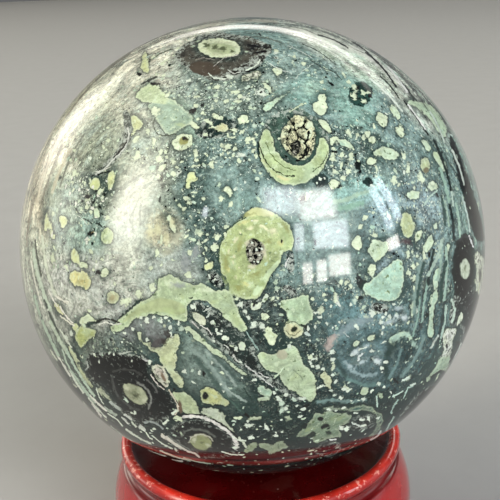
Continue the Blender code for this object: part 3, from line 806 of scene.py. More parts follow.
    (WHITE, 0.8, [160, 451, 174, 457, 190, 461]),
    (FROST, 0.8, [62, 350, 66, 362, 73, 375]),
    (FROST, 0.7, [112, 428, 122, 436, 130, 441]),
    (FROST, 0.6, [183, 458, 196, 462, 210, 464]),
    (WHITE, 0.6, [140, 428, 146, 433, 150, 439]),
    (WHITE, 0.7, [232, 436, 238, 440, 246, 441]),
    (WHITE, 0.6, [222, 452, 232, 455, 244, 455]),
    (rgb(70, 82, 76), 0.4, [302, 44, 314, 49, 326, 57, 336, 65]),
    (rgb(196, 210, 200), 0.4, [288, 46, 302, 52, 312, 58]),
    (rgb(200, 216, 204), 0.4, [296, 78, 304, 70, 313, 64]),
    (rgb(216, 228, 220), 0.4, [270, 64, 280, 70, 292, 73]),
    (rgb(66, 80, 74), 0.5, [310, 60, 322, 68, 334, 72, 342, 80]),
    (rgb(44, 52, 50), 0.6, [318, 35, 334, 40, 348, 48]),
    (rgb(40, 46, 44), 0.7, [404, 101, 413, 113, 421, 125, 428, 135]),
    (rgb(242, 245, 238), 0.9, [388, 67, 398, 79, 407, 92]),
    (rgb(242, 245, 238), 0.8, [408, 105, 417, 117, 425, 129]),
    (rgb(206, 220, 206), 1.0, [370, 79, 382, 89, 392, 99, 402, 111]),
    (rgb(96, 108, 100), 0.5, [250, 36, 266, 38, 282, 43]),
    (rgb(170, 196, 176), 0.9, [444, 200, 447, 212, 449, 226]),
    (rgb(60, 84, 76), 1.2, [441, 196, 444, 210, 445, 224]),
    (rgb(196, 216, 200), 1.1, [452, 300, 455, 310, 452, 322]),
    (rgb(176, 198, 182), 1.5, [442, 240, 439, 252, 434, 264, 428, 275]),
    (rgb(50, 74, 68), 1.4, [446, 262, 443, 274, 441, 288, 441, 300]),
    (rgb(54, 80, 74), 1.2, [424, 262, 421, 275, 418, 290, 417, 304]),
    (rgb(236, 238, 236), 0.7, [469, 236, 471, 241, 473, 247]),
    (rgb(60, 62, 64), 1.2, [459, 240, 463, 236, 468, 238]),
    (rgb(178, 204, 188), 1.0, [424, 205, 430, 196, 437, 190]),
    (rgb(40, 52, 44), 0.4, [74, 206, 78, 212, 83, 216]),
    (rgb(40, 52, 44), 0.6, [83, 219, 88, 220, 92, 224]),
    (rgb(40, 52, 44), 0.5, [95, 223, 99, 224, 102, 227, 106, 227]),
    (rgb(226, 236, 222), 0.4, [79, 216, 84, 221, 87, 225]),
    (rgb(226, 232, 220), 0.5, [96, 172, 104, 170, 111, 167]),
    (rgb(20, 30, 24), 0.8, [98, 174, 104, 173, 110, 171]),
    (rgb(24, 30, 22), 0.9, [97, 322, 104, 319, 112, 320, 119, 323]),
    (rgb(228, 232, 222), 0.6, [98, 325, 106, 322, 113, 325, 121, 324]),
    (rgb(246, 246, 234), 0.7, [55, 296, 61, 300, 68, 302]),
    (rgb(246, 246, 236), 0.8, [60, 307, 65, 315, 72, 323]),
    (rgb(246, 246, 236), 0.6, [48, 290, 52, 298, 57, 306]),
    (rgb(60, 82, 60), 0.5, [
        246, 218, 238, 220.5, 232, 226, 226, 232, 222, 239, 219.5, 247, 218.5, 255, 219, 263]),
    (rgb(226, 230, 226), 0.7, [289, 258, 286, 262, 286, 268]),
    (rgb(30, 44, 34), 1.0, [301, 325, 306, 327, 308, 332]),
    (rgb(200, 216, 208), 1.2, [306, 333, 310, 335]),
    (rgb(210, 220, 210), 1.4, [337, 297, 337, 302, 340, 306]),
    (rgb(96, 108, 84), 0.4, [286, 324, 290, 322, 296, 322, 300, 326]),
    (rgb(112, 116, 88), 0.4, [286, 331, 290, 335, 296, 335, 300, 331]),
    (rgb(196, 210, 180), 0.8, [303, 104, 296, 108, 290, 112]),
    (rgb(216, 226, 206), 0.5, [234, 100, 242, 98, 250, 99]),
    (rgb(130, 160, 150), 0.8, [264, 100, 272, 94, 280, 90]),
    (rgb(176, 184, 170), 0.6, [199, 240, 199.5, 250]),
    (rgb(60, 66, 60), 0.9, [142, 84, 148, 81, 156, 77]),
    (rgb(90, 98, 80), 0.6, [150, 60, 160, 54, 172, 49]),
]

# Soft-edged strokes and spots, in the same form as the thin strokes and the flecks
SOFT_STROKES = [
    (rgb(134, 138, 134), 1.1, [137, 383, 143, 386, 148, 391, 151, 397, 151, 403, 148, 409]),
    (rgb(60, 62, 60), 1.3, [112, 372, 124, 369, 134, 371, 142, 375]),
    (rgb(72, 76, 74), 1.4, [112, 376, 113, 386, 117, 395, 123, 402, 131, 408, 139, 410]),
    (rgb(96, 98, 96), 0.9, [147, 380, 153, 385, 157, 392]),
    (rgb(96, 102, 96), 1.2, [181, 437, 185, 432, 192, 429, 200, 430, 208, 432, 215, 437]),
    (rgb(60, 62, 56), 1.3, [184, 440, 189, 446, 195, 450, 204, 452]),
    (rgb(206, 206, 190), 0.8, [189, 443, 191, 438, 196, 435, 203, 434.5, 209, 437, 213, 441]),
    (rgb(186, 172, 164), 3.4, [328, 348, 330, 342, 334, 337]),
    (rgb(138, 158, 162), 4.2, [341, 333, 350, 327, 360, 322, 370, 319]),
    (rgb(176, 204, 180), 2.2, [334, 202, 345, 200, 357, 195, 368, 191]),
    (rgb(142, 182, 160), 3.4, [340, 208, 350, 207, 362, 203]),
    (rgb(146, 166, 158), 2.4, [192, 349, 203, 358, 213, 370, 222, 383, 230, 395]),
    (rgb(158, 176, 168), 1.6, [206, 352, 218, 362, 228, 374, 236, 386]),
    (rgb(70, 92, 86), 2.4, [197, 360, 207, 371, 216, 384, 224, 396]),
    (rgb(66, 88, 84), 1.8, [214, 356, 226, 368, 238, 381]),
    (rgb(170, 188, 180), 1.2, [226, 388, 236, 396, 246, 402]),
    (DEEP, 3.4, [394, 342, 388, 354, 385, 368, 389, 380]),
    (rgb(112, 142, 140), 1.6, [401, 350, 397, 364, 389, 378]),
    (rgb(104, 136, 132), 2.0, [338, 370, 350, 380, 366, 386, 382, 384]),
    (rgb(150, 174, 176), 1.8, [344, 362, 352, 371, 364, 376, 376, 374]),
    (rgb(56, 78, 76), 2.4, [334, 352, 338, 364, 346, 376]),
    (rgb(132, 158, 150), 2.6, [420, 262, 418, 278, 415, 296, 414, 312]),
    (rgb(56, 62, 60), 2.2, [425, 280, 424, 296, 423, 314, 421, 328]),
    (rgb(150, 178, 164), 1.8, [442, 246, 441, 262, 438, 280]),
    (rgb(40, 60, 60), 2.2, [445, 300, 443, 316, 440, 332, 436, 348]),
    (rgb(122, 150, 146), 2.0, [424, 336, 420, 350, 412, 364, 402, 376]),
    (rgb(44, 66, 64), 2.6, [436, 352, 428, 364, 418, 378, 406, 392]),
    (rgb(118, 146, 142), 1.8, [318, 402, 332, 400, 348, 402, 366, 400]),
]
# Streaks along the limb: the dark ones the stone's own, the pale ones partly painted light and painted
# reflection
LIMB_STROKES = [
    (rgb(206, 204, 178), 2.2, [140, 44, 120, 56, 100, 72, 82, 92, 68, 112, 56, 132]),
    (rgb(120, 116, 98), 1.2, [132, 52, 114, 64, 96, 80, 80, 98, 66, 118]),
    (rgb(222, 216, 192), 1.8, [60, 138, 50, 158, 42, 180, 36, 204]),
    (rgb(110, 108, 92), 1.4, [62, 146, 54, 164, 46, 186, 40, 208]),
    (rgb(214, 208, 182), 1.6, [70, 150, 60, 170, 52, 192]),
    (rgb(94, 96, 84), 1.0, [84, 134, 74, 150, 66, 168, 60, 186]),
    (rgb(132, 126, 112), 1.6, [34, 196, 28, 222, 26, 246]),
    (rgb(196, 196, 180), 2.4, [200, 27, 224, 22, 250, 20, 276, 22]),
    (rgb(84, 84, 76), 1.6, [176, 38, 200, 30, 224, 26]),
    (rgb(236, 240, 226), 3.0, [286, 30, 310, 33, 332, 40, 352, 50]),
    (rgb(96, 112, 104), 1.4, [286, 24, 312, 28, 338, 37, 362, 50]),
    (rgb(232, 236, 224), 2.8, [352, 47, 372, 59, 392, 76, 408, 93]),
    (rgb(60, 68, 66), 1.6, [372, 50, 394, 68, 414, 90, 428, 110]),
]
SOFT_FLECKS = [
    (rgb(236, 234, 198), [
        (273, 231.5, 4.6, 3.4, 35), (250, 228.5, 3.4, 1.4, -20), (235.5, 240, 1.9, 3.2, 30),
        (240.5, 232.5, 1.8, 1.8, 0), (229, 251, 1.4, 3, 10), (234, 256, 1.3, 2.2, 0),
        (235.5, 277.5, 1.6, 1.6, 0), (232, 287, 1.4, 2, 0), (262, 226, 3.4, 1.3, 10),
        (233, 262, 1, 2, 0), (239, 268, 1.2, 1.2, 0), (266, 229, 2.4, 1.4, 20), (256, 221, 3, 1, 0),
        (284, 238, 1.2, 3, -10),
    ]),
    (rgb(222, 236, 204), [(171, 283, 9, 4.5, 6), (206, 290, 8, 2.4, 10)]),
    (rgb(160, 180, 126), [(285, 236, 5, 10, -10)]),
    (rgb(150, 168, 112), [(234, 286, 6, 7, 30), (230, 276, 5, 8, 10), (262, 284, 5, 4, 0)]),
    (rgb(216, 216, 150), [
        (281, 243, 3, 2.6, 0), (228, 270, 2, 4, -20), (246, 284, 4, 2, 20), (244, 222, 5, 2, -20),
    ]),
    (rgb(156, 162, 104), [
        (226, 262, 3, 10, 8), (248, 215, 6, 2, -10), (240, 246, 3, 8, 12), (268, 242, 4, 3, 0),
        (256, 274, 6, 3, -20), (238, 288, 4, 3, 30), (286, 228, 3, 6, -40),
    ]),
    (rgb(214, 212, 186), [(264.5, 252, 2.6, 7, -8), (252, 267, 5, 2, 10), (247, 243, 1.6, 4, 20)]),
    (rgb(112, 120, 92), [(134.5, 395, 6.6, 4.8, 38), (465, 269, 2, 5.5, 0)]),
    (rgb(140, 150, 104), [(202, 443, 6, 4.2, 16)]),
    (rgb(70, 76, 58), [(135, 396, 3, 2.2, 38), (202, 443.5, 2.2, 1.4, 16)]),
    (rgb(196, 202, 176), [
        (126, 388, 4, 2.4, 40), (144, 401, 2.6, 4, 20), (194, 440, 2.4, 3.6, 16), (208, 446, 3, 2, 16),
    ]),
    (rgb(86, 80, 82), [(158, 342, 11, 6.5, -42)]),
    (rgb(54, 46, 44), [(164, 342, 5, 3.4, -30), (168, 333, 3.4, 6, -20)]),
    (rgb(188, 206, 208), [
        (356, 352, 6, 3, -30), (366, 347, 4, 2, -25), (377, 361, 5, 3.4, 10), (362, 362, 5, 2, -30),
        (350, 366, 4, 2, 30), (389, 322, 6, 2.4, -20), (404, 318, 6, 3, 10), (398, 308, 5, 2, 0),
    ]),
    (rgb(222, 232, 232), [
        (355, 353, 2.6, 1.6, -30), (377, 361, 2.6, 1.8, 0), (404, 318, 2.4, 2, 0),
        (396, 316, 2, 1.6, 0),
    ]),
    (rgb(176, 206, 190), [(397, 337, 6, 3.4, -30), (407, 335, 4, 3, 20), (414, 344, 4, 2.4, 50)]),
    (rgb(220, 220, 182), [
        (158, 229, 5, 6, 0), (166, 238, 4, 6, 0), (150, 232, 4, 6, 10), (172, 222, 3, 5, -10),
    ]),
    (rgb(184, 188, 166), [(176, 238, 5, 8, 10), (166, 252, 7, 4, -20)]),
    (rgb(154, 162, 162), [(186, 262, 5, 11, 0), (178, 285, 8, 3, 10), (196, 252, 4, 7, 0)]),
    (rgb(202, 214, 178), [(211.5, 47, 1.2, 3.4, 10), (221, 48, 1.2, 3.4, 10), (230.5, 50, 1.2, 3, 10)]),
    (rgb(92, 72, 76), [(406, 242, 6, 3.6, 20)]),
]

# Flecks: colour, then x, y, half width, half height, tilt clockwise for each
FLECKS = [
    (rgb(240, 244, 232), [
        (87, 239, 2.4, 1.3, -35), (95.5, 234, 0.8, 2.4, 10), (86.5, 243, 1.2, 1.8, 0),
        (84, 196, 1.4, 1.1, 0), (79, 189, 1.1, 1.6, 0), (88, 190, 1.3, 1, 0), (93, 187, 1, 1.4, 20),
        (98, 196, 1.5, 1, 30), (103, 201, 1.3, 1.1, 0), (88, 203, 1.6, 1.3, 0), (92, 208, 1.3, 1.6, 0),
        (105, 217, 1.7, 1.3, 0), (80, 181, 1, 1.5, 0), (107, 181, 1.4, 1, 0), (111, 189, 1, 1.3, 0),
        (96, 217, 1.3, 1.1, 0), (70, 168, 0.8, 2, 20), (72, 178, 0.8, 1.8, 10), (66, 186, 0.7, 2.2, 10),
        (61, 204, 0.7, 2, 6), (70, 193, 0.9, 1.6, 12), (76, 203, 0.8, 1.8, 14), (61, 258, 0.8, 2.4, 0),
        (52, 235, 0.7, 2.6, 0),
    ]),
    (rgb(24, 34, 28), [
        (84, 190, 1.6, 1.1, 20), (90, 196, 1.8, 1.3, -20), (96, 191, 1.6, 1.2, 0),
        (100, 207, 2, 1.3, 30), (86, 209, 1.5, 1.1, 0), (93, 202, 1.8, 1, 40), (104, 195, 1.4, 1.6, 0),
        (82, 201, 1.3, 1.6, 0), (90, 233, 3.6, 1.7, -42), (94.3, 229.6, 1.7, 0.9, 60),
        (92.5, 243, 1, 2.2, 0), (101, 214, 1.8, 1, 20),
    ]),
    (rgb(160, 142, 98), [(93, 231.4, 1.3, 0.8, -40)]),
    (CREAM, [
        (155, 111, 4.3, 4.3, 0), (153, 57, 2.5, 1.2, -40), (178, 48.5, 2.5, 1, -20),
        (164, 75.5, 2, 1, -30), (166, 61, 2, 1, -30), (148, 131, 2, 3.5, 20),
        (135.5, 140, 2.3, 4.8, 25), (154, 141, 1.6, 4, 0), (161, 152, 1.8, 3, 0),
        (137, 156, 3, 4.5, 25), (153, 148, 1.3, 1.3, 0), (147, 148.5, 1.2, 1.2, 0),
        (167.5, 157.5, 1.5, 2, 0), (158.5, 159, 4, 3, -20), (161.5, 168.5, 5, 2.8, -35),
        (158, 177, 3, 2.5, 0), (196, 106, 2, 2, 0), (202, 113, 1.8, 1.8, 0), (207, 121, 5, 2, 30),
        (213, 127.5, 3, 1, 0), (205.5, 134.5, 1.8, 1.3, 0), (198.5, 119, 1.5, 1.5, 0),
        (196, 153, 1.7, 4, 0), (196, 160, 2, 1.8, 0), (195, 166, 5, 1.5, -10), (207, 156, 1.3, 1.8, 0),
        (210, 164, 2, 2, 0), (173, 162, 2.4, 2.8, 0), (182, 162, 2.2, 1.3, 0), (177, 167, 1.5, 1.5, 0),
        (173.5, 173.5, 2.2, 2, 0), (193.5, 192.3, 2.6, 0.9, 0), (192.5, 196, 1.8, 1, 0),
        (185.5, 198, 2.8, 2.3, 0), (189, 202.5, 2.6, 2, 0), (203.5, 199, 2, 2, 0),
        (75, 173.5, 3.4, 2.8, 20), (74, 150, 1.5, 1.5, 0), (71, 160, 1.5, 1.5, 0),
        (108, 128, 1.6, 1.4, 0), (108, 141, 2, 2.4, 0), (103, 147, 1.5, 1.7, 0), (276, 51, 2.6, 1.3, 0),
        (304, 64, 2.5, 2, 0), (294, 57, 2, 1.6, 0), (267.5, 87.5, 6, 2.3, 40), (235, 92, 4.5, 1.8, 0),
        (240, 96.5, 2.2, 2, 0), (226.5, 101, 3, 1.8, 0), (238, 101.5, 2.8, 1.8, 0),
        (215.5, 101, 2, 1.6, 0), (217, 87, 3.5, 2, 0), (322, 82, 1.8, 1.8, 0),
        (355, 88.5, 4.3, 2.4, 45), (354, 95.5, 2.8, 3.8, 0), (363, 93, 3.4, 1.9, 50),
        (363.5, 101.5, 3.4, 2.4, 0), (368, 92.5, 3, 1.6, 0), (349, 82, 3, 1.4, 45),
        (344, 75, 3.4, 1.4, 50), (242.5, 131.5, 4.2, 1.4, -35), (234, 130, 3.3, 1.9, 0),
        (228, 135, 1.4, 3, 0), (233, 137.5, 4, 1.2, 0), (234, 134, 1.2, 1.2, 0),
        (248, 139.5, 3.8, 2.4, 0), (253, 138.5, 1.9, 1.9, 0), (247.5, 143, 1.4, 1.4, 0),
        (255, 143, 2, 2.5, 0), (253.5, 151, 1.8, 2.3, 0), (254.5, 155.5, 1.2, 1.2, 0),
        (257, 157.5, 1.4, 2, 0), (222, 145.5, 2, 2, 0), (227.5, 147, 3.2, 2.8, 0),
        (235, 148.5, 2.3, 2, 0), (228, 153.5, 1.5, 1.5, 0), (239, 161, 2.4, 3.2, 0),
        (221, 199, 2.8, 2.3, 0), (231, 204, 2.5, 2.8, 0), (279, 138.5, 1.3, 1.3, 0),
    ]),
    (CREAM, [
        (334, 149, 2, 1.5, 0), (333, 155, 2.1, 2.9, 0), (332.5, 159, 2.4, 1.8, 0),
        (342, 155, 2.4, 3.3, 0), (341, 166, 1.6, 4, 0), (348, 172, 2.8, 3.8, 0),
        (343, 178, 3.4, 2.4, 0), (351, 156, 2.8, 4.6, 10), (358.5, 161, 2, 1.3, 0),
        (331.5, 166, 1.3, 1.3, 0), (334.5, 171, 1.9, 1.9, 0), (357.5, 135, 1.8, 1.8, 0),
        (363, 138, 2, 3, 0), (367.5, 134, 3, 3.3, 0), (374, 126, 1.5, 3, 0), (394, 180, 2.8, 4.6, 0),
        (399, 185, 2, 1.4, -45), (404, 156, 2.4, 3.6, 0), (408, 168, 2, 5, 0),
        (421, 178, 2.8, 5.6, -10), (53, 214, 1.5, 3, 0), (52.5, 259, 2, 5, 0), (66, 267, 1.7, 3.8, -25),
        (102, 259, 2, 2, 0), (93.5, 270, 1.4, 1.4, 0), (91, 252, 2, 2, 0), (91, 212, 1.8, 1.8, 0),
        (87, 207, 2.4, 2.8, 0), (107, 217.5, 2.3, 2.3, 0), (94.5, 232.5, 1.1, 1.1, 0),
        (89, 239, 1.6, 1.2, 0), (200, 234.5, 2.3, 2.8, 0), (207.5, 234.5, 1.3, 1.3, 0),
        (203, 242.5, 1.3, 1.3, 0), (186, 237, 2.5, 1.3, -40), (189.5, 252.5, 2.6, 2.6, 0),
        (188, 275, 3.8, 2.9, 0), (157.5, 253.5, 2.5, 3.2, 0), (151.5, 268.5, 2, 2, 0),
        (161.5, 265, 1.5, 2.2, 0), (172.5, 259.5, 2, 1.2, 0), (163.5, 249.5, 1.3, 1.3, 0),
        (169.5, 246, 1.3, 1.3, 0), (161.5, 240, 1.2, 3.8, 0), (206, 260, 1.5, 2.4, 0),
        (139, 294.5, 3.8, 3.6, 0), (125.5, 301.5, 5.4, 3.8, -12), (152.5, 288, 2.9, 4.8, 0),
        (214, 248, 3.1, 4.3, 0), (217.5, 237, 3.1, 3.1, 0), (225, 234.5, 2, 2, 0),
        (226.5, 227, 2, 2, 0), (237, 299, 1.9, 1.7, 0), (273.5, 299, 1.8, 1.9, 0),
        (278, 298.5, 1.5, 1.3, 0), (365.5, 217.5, 2.7, 2.7, 0), (360.5, 226.5, 2.4, 2.4, 0),
        (373, 212.5, 1.5, 1.5, 0), (375, 235, 2.4, 2.4, 0), (341, 282, 2.8, 2.8, 0),
        (326, 279, 1.6, 1.6, 0), (335.5, 298, 2.2, 3.8, 0), (324.5, 295, 2, 2, 0),
        (312, 299.5, 2, 1.8, 0), (325.5, 300, 1.5, 1.5, 0), (350.5, 286, 1.6, 1.6, 0),
        (356.5, 297, 1.6, 1.6, 0), (424, 256, 1.5, 5, 0), (408, 254, 1.5, 4, 0),
        (412, 252, 1.3, 1.5, 0), (417, 256, 1.3, 1.5, 0), (417.5, 264, 1.3, 2, 0),
        (413, 266.5, 2, 2, 0), (409, 273, 2, 3.6, -30), (414, 278, 1.8, 3.4, 0),
        (414, 288, 1.6, 2.4, 0),
    ]),
    (WHITE, [
        (240.5, 305, 3, 2.9, 20), (245, 311.5, 2.4, 1.9, 0), (248.5, 318, 1.5, 2.4, 0),
        (254, 324.5, 3, 3.2, 0), (262.5, 326, 2.8, 3.3, 0), (289.5, 346, 2.2, 2, 0),
        (141, 318, 1.5, 1.4, 0), (146.5, 320, 2.3, 2.9, 0), (153.5, 318, 1.7, 1.7, 0),
        (161, 321, 1.4, 2.9, -10), (141, 325, 1.2, 1.2, 0), (168.5, 321, 1, 1, 0),
        (178.5, 323, 1.4, 1.9, 0), (132, 329, 1.5, 1.5, 0), (166, 318, 1.8, 1.3, 0),
        (170, 328, 2.2, 2.6, 20), (171, 334, 1.3, 2.8, -20), (147, 339.5, 1.4, 1.8, 20),
        (122, 342, 1.4, 1.2, 0), (125, 333, 1.8, 1.3, 0), (192.5, 307, 2.4, 2.2, 0),
        (207, 306, 0.8, 1, 0), (212, 322, 1.3, 1.6, 20), (216.5, 330, 1.1, 3.2, 0),
        (219, 333.5, 2.6, 1.3, 20), (222, 331, 1.2, 1.6, 0), (236.5, 349, 1.8, 2.6, 0),
        (240.5, 362, 1.5, 1.1, 0), (242, 377.5, 1, 0.8, 0), (204, 335, 1, 1, 0), (214, 341, 1.6, 1, 40),
        (184.5, 371, 2.2, 1.8, 0), (199, 373, 1.8, 2, 0), (194, 383, 3, 0.8, 30), (221, 384.5, 1, 1, 0),
        (224, 392, 1.4, 1.2, 0), (279, 398.5, 3.4, 3, 20), (274, 393.5, 1.4, 1.6, 0),
        (286, 395, 2.8, 1.2, -20), (286, 408.5, 1.8, 1.5, 0), (297, 406, 1.3, 1.5, 30),
        (302, 399, 4.2, 1.7, 0), (303, 409.5, 3.3, 1.3, -22), (300, 417, 3, 1.3, 0),
        (281, 420, 1.1, 1, 0), (247.5, 421.5, 1.4, 1.3, 0), (249, 426, 4.8, 1.7, 0),
        (241, 429.5, 1.9, 1.3, 20), (251, 438, 2.9, 2, 0), (267, 428, 1.5, 4.6, -32),
        (276, 436, 2.6, 1.4, 0), (276, 432.5, 1.2, 0.9, 0), (342, 428.5, 2.3, 2.2, 0),
        (346.5, 429, 2.9, 2.1, -20), (362, 420, 3.6, 1.5, 0), (369, 419, 1.4, 2.8, 0),
        (378, 418, 2, 1, -20), (364, 426, 2.8, 1.2, -15), (356, 413, 2, 0.8, 0),
        (343, 408, 2.2, 1.2, -20), (329, 409.5, 1.8, 1.2, 0), (336, 411, 1.4, 1.1, 0),
        (334, 396, 2.1, 1.5, -20), (341.5, 398, 1.9, 1.7, 0), (344, 389, 2, 1.7, 0),
        (348.5, 391, 2.9, 1.4, -42), (351.5, 401, 1.4, 1.1, 0), (363.5, 399.5, 1.9, 1.7, 0),
        (358.5, 400.5, 1.4, 0.6, 0), (379, 384, 2, 1.8, -20), (384, 387, 1.3, 1.2, 0),
        (372, 391, 2.2, 1, -50), (391, 392.5, 1.2, 1.2, 0), (382, 368, 1.8, 1.8, 0),
        (382, 372.5, 1, 1.1, 0), (386, 362, 2, 1.5, 0), (372, 351, 2.6, 1.3, -10),
        (356.5, 327, 2, 2.9, -20), (372, 313, 2.4, 4.4, -15), (383, 327, 1.6, 1.6, 0),
        (382, 333.5, 1.3, 1.6, 0), (391.5, 325, 1.3, 1.4, 0), (384, 342, 2.6, 0.9, -20),
        (332, 352.5, 2.8, 2.2, 0), (333, 359.5, 2.4, 2, 0), (333, 375, 1.9, 1.5, 0),
        (336, 382, 2.5, 1.3, -50), (331, 390.5, 2, 1.2, 0), (320.5, 387, 3.4, 1.4, -22),
        (310, 362, 1.9, 2, 0), (313, 366.5, 2, 1.3, 0), (318, 367, 1.7, 2.4, 0),
        (323, 369, 1.9, 1.2, -20), (312.5, 354, 1.2, 1.3, 0), (316.5, 358.5, 1.1, 1.2, 0),
        (320, 317.5, 2.3, 2, 0), (316, 313, 2.8, 1.3, 0), (327, 323, 1.6, 1.5, 0),
        (339, 322.5, 1.5, 1.3, 0), (336, 326, 1.3, 1, -20), (333, 328, 1, 1.2, 0),
        (351.5, 305, 1.4, 2.2, -10), (345, 323, 0.9, 1, 0), (309, 341, 1, 0.9, 0),
        (378, 313, 1.6, 1, 20), (383, 317, 2, 1.2, 20), (386, 313, 1.4, 1.9, 0),
        (382, 309, 0.8, 0.8, 0), (390, 317, 2, 2.4, 0), (394, 304, 2, 1.2, 30), (308, 328, 1.4, 2.6, 0),
        (315, 327, 1, 2, 20), (99, 362, 1.2, 1.1, 0), (94, 354.5, 1.4, 1.3, 0), (109, 353, 1.3, 1.3, 0),
        (113.5, 354.5, 1, 1, 0), (71, 334, 1.6, 3, -15), (66, 338, 1.4, 3, -15), (48, 310, 1.1, 1.1, 0),
        (54.5, 328.5, 0.9, 1.5, -30), (131.5, 413, 1.5, 1.2, 0), (135, 413, 1.5, 1.5, 0),
        (153.5, 429, 1.8, 1, 10), (151.5, 431, 1.5, 0.8, 30), (140.5, 432, 1.1, 0.7, 30),
        (151, 439, 2, 0.7, 30), (152.5, 443, 1.1, 0.7, 40), (166, 446, 1.7, 0.8, 30),
        (175.5, 450, 2.6, 1, 45), (183, 427, 1.1, 0.8, 0), (235, 448, 2.4, 1.4, -10),
        (209, 276, 1.2, 1.6, 0), (215, 279, 1, 1.3, 20), (214, 285, 1.5, 1, 0), (220, 284, 1.1, 1.2, 0),
        (320, 179, 1.3, 1.5, 0), (317, 183, 1, 1, 0), (324, 178, 1, 1.3, 0), (252, 243, 0.9, 1.2, 0),
        (256, 250, 1.3, 1.6, 0), (260, 255, 1.2, 1, 0), (258, 262, 1.3, 1, 0), (251, 258, 0.8, 1.2, 0),
        (262, 249, 1, 1.2, 0), (250, 250, 0.7, 0.9, 0), (254, 262, 0.9, 0.7, 0), (276, 58, 2.2, 1.8, 0),
        (261, 92.5, 4, 4, 0),
    ]),
    (rgb(84, 94, 66), [
        (206.5, 45.5, 2.8, 2.3, 0), (215, 47.5, 2.6, 2.2, 10), (223, 48.5, 3, 2.4, 10),
        (232, 51.5, 2.4, 1.8, 10),
    ]),
    (BLACK, [
        (139, 74, 2.8, 1.8, 20), (153, 84, 2, 1.4, 0), (87, 197, 3, 2, 0), (369, 96, 2, 2, 0),
        (331, 84, 4, 1.3, 30), (358, 88, 1.6, 2.6, 40), (334, 152, 3, 1.1, 0), (98, 272, 2.4, 2.2, 0),
        (360, 172, 1.9, 1.9, 0), (185, 138.5, 3.2, 1.8, 0), (261, 92.5, 1.2, 1.2, 0),
        (254, 304.5, 1.5, 2, 0), (253, 46, 8, 1.5, 8), (262, 52, 8, 1, -8), (276, 58, 0.9, 0.8, 0),
        (290, 130, 1.3, 3, 20), (287, 139, 1.5, 2, 0), (291, 146, 1.6, 1.2, 0), (302, 155, 2, 1.2, 0),
        (306, 151, 1.4, 2, 0), (294, 124, 1.2, 2, 0), (311, 150, 1, 1.6, 0), (288, 151, 1.2, 1.6, 30),
        (313, 139, 1, 1.4, 0), (281.5, 241, 1, 1, 0), (447, 346, 0.9, 2.2, 0), (37, 325.5, 1.3, 1.6, 0),
        (41, 318, 0.8, 1.4, -20), (204, 374, 1.6, 1.8, 0), (305, 121, 2, 1, 0), (298, 161, 2.5, 1, 0),
        (286, 156, 1.5, 1, 40),
    ]),
]

# How thick loose flecks and crumbs lie: density, centre x, centre y, half width, half height, tilt
CROWDS = [
    (3.2, 92, 194, 24, 26, 20), (2.2, 220, 95, 60, 22, 0), (2.4, 205, 140, 26, 34, 0),
    (2.5, 110, 342, 34, 14, 0), (2.3, 225, 340, 18, 46, -44), (2.6, 345, 155, 34, 30, 0),
    (2.2, 285, 410, 50, 34, 0), (2.2, 335, 300, 34, 20, 0), (1.8, 400, 210, 36, 60, 0),
    (2.0, 240, 140, 30, 30, 0), (2.4, 222, 60, 46, 20, 5), (2.0, 172, 170, 22, 30, 0),
    (2.0, 395, 300, 26, 22, 0), (2.0, 425, 280, 22, 60, 0), (1.4, 295, 300, 30, 16, 0),
    (1.9, 370, 395, 60, 18, -10), (2.4, 325, 375, 14, 34, -20), (1.7, 262, 322, 16, 20, 0),
    (0.1, 176, 116, 28, 15, 42), (0.9, 100, 146, 24, 31, 32), (0.2, 366, 362, 30, 28, 0),
    (0.15, 205, 368, 30, 34, 42), (0.1, 142, 330, 28, 12, 8), (0.3, 76, 304, 26, 22, 0),
    (0.1, 135, 212, 28, 52, 0), (0.4, 172, 262, 26, 18, 0), (0.2, 345, 98, 36, 24, -10),
    (0.3, 300, 96, 24, 12, 0), (0.2, 352, 200, 34, 12, -10), (0.3, 240, 402, 26, 14, 40),
    (0.35, 104, 88, 50, 20, -48), (0.2, 40, 200, 18, 60, 10), (0.3, 45, 310, 18, 60, -20),
    (1.8, 33, 262, 8, 44, -4), (0.2, 300, 40, 90, 12, 10), (0.3, 325, 225, 50, 40, 0),
    (0.3, 150, 280, 30, 14, 0), (0.3, 230, 190, 30, 22, 30), (0.3, 340, 315, 20, 16, 0),
    (0.2, 218, 60, 34, 14, 5),
]

# The sphere as packed, with points kept from its centre
low_corner, high_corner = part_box("jasper_sphere")
SPHERE_CENTRE = 0.5 * (low_corner + high_corner)
SPHERE_RADII = 0.5 * np.array(high_corner - low_corner)
MEAN_RADIUS = float(SPHERE_RADII.mean())

# Directions of the photograph
TOWARDS_EYE = np.array((0.0, -math.cos(VIEW_ELEVATION), math.sin(VIEW_ELEVATION)))
LEVEL_UP = np.array((0.0, math.sin(VIEW_ELEVATION), math.cos(VIEW_ELEVATION)))
LEVEL_RIGHT = np.array((1.0, 0.0, 0.0))
RIGHTWARDS = math.cos(VIEW_ROLL) * LEVEL_RIGHT - math.sin(VIEW_ROLL) * LEVEL_UP
UPWARDS = math.sin(VIEW_ROLL) * LEVEL_RIGHT + math.cos(VIEW_ROLL) * LEVEL_UP
EYE = VIEW_DISTANCE * TOWARDS_EYE
DRAWN_CENTRE = np.array(CENTRE_SEEN_AT)
MARK_REFERENCE = LEVEL_UP + 0.2 * LEVEL_RIGHT
LOOSE_REFERENCE = UPWARDS + 0.1 * RIGHTWARDS
STREAK_AXIS = tuple(float(value) for value in TOWARDS_EYE)

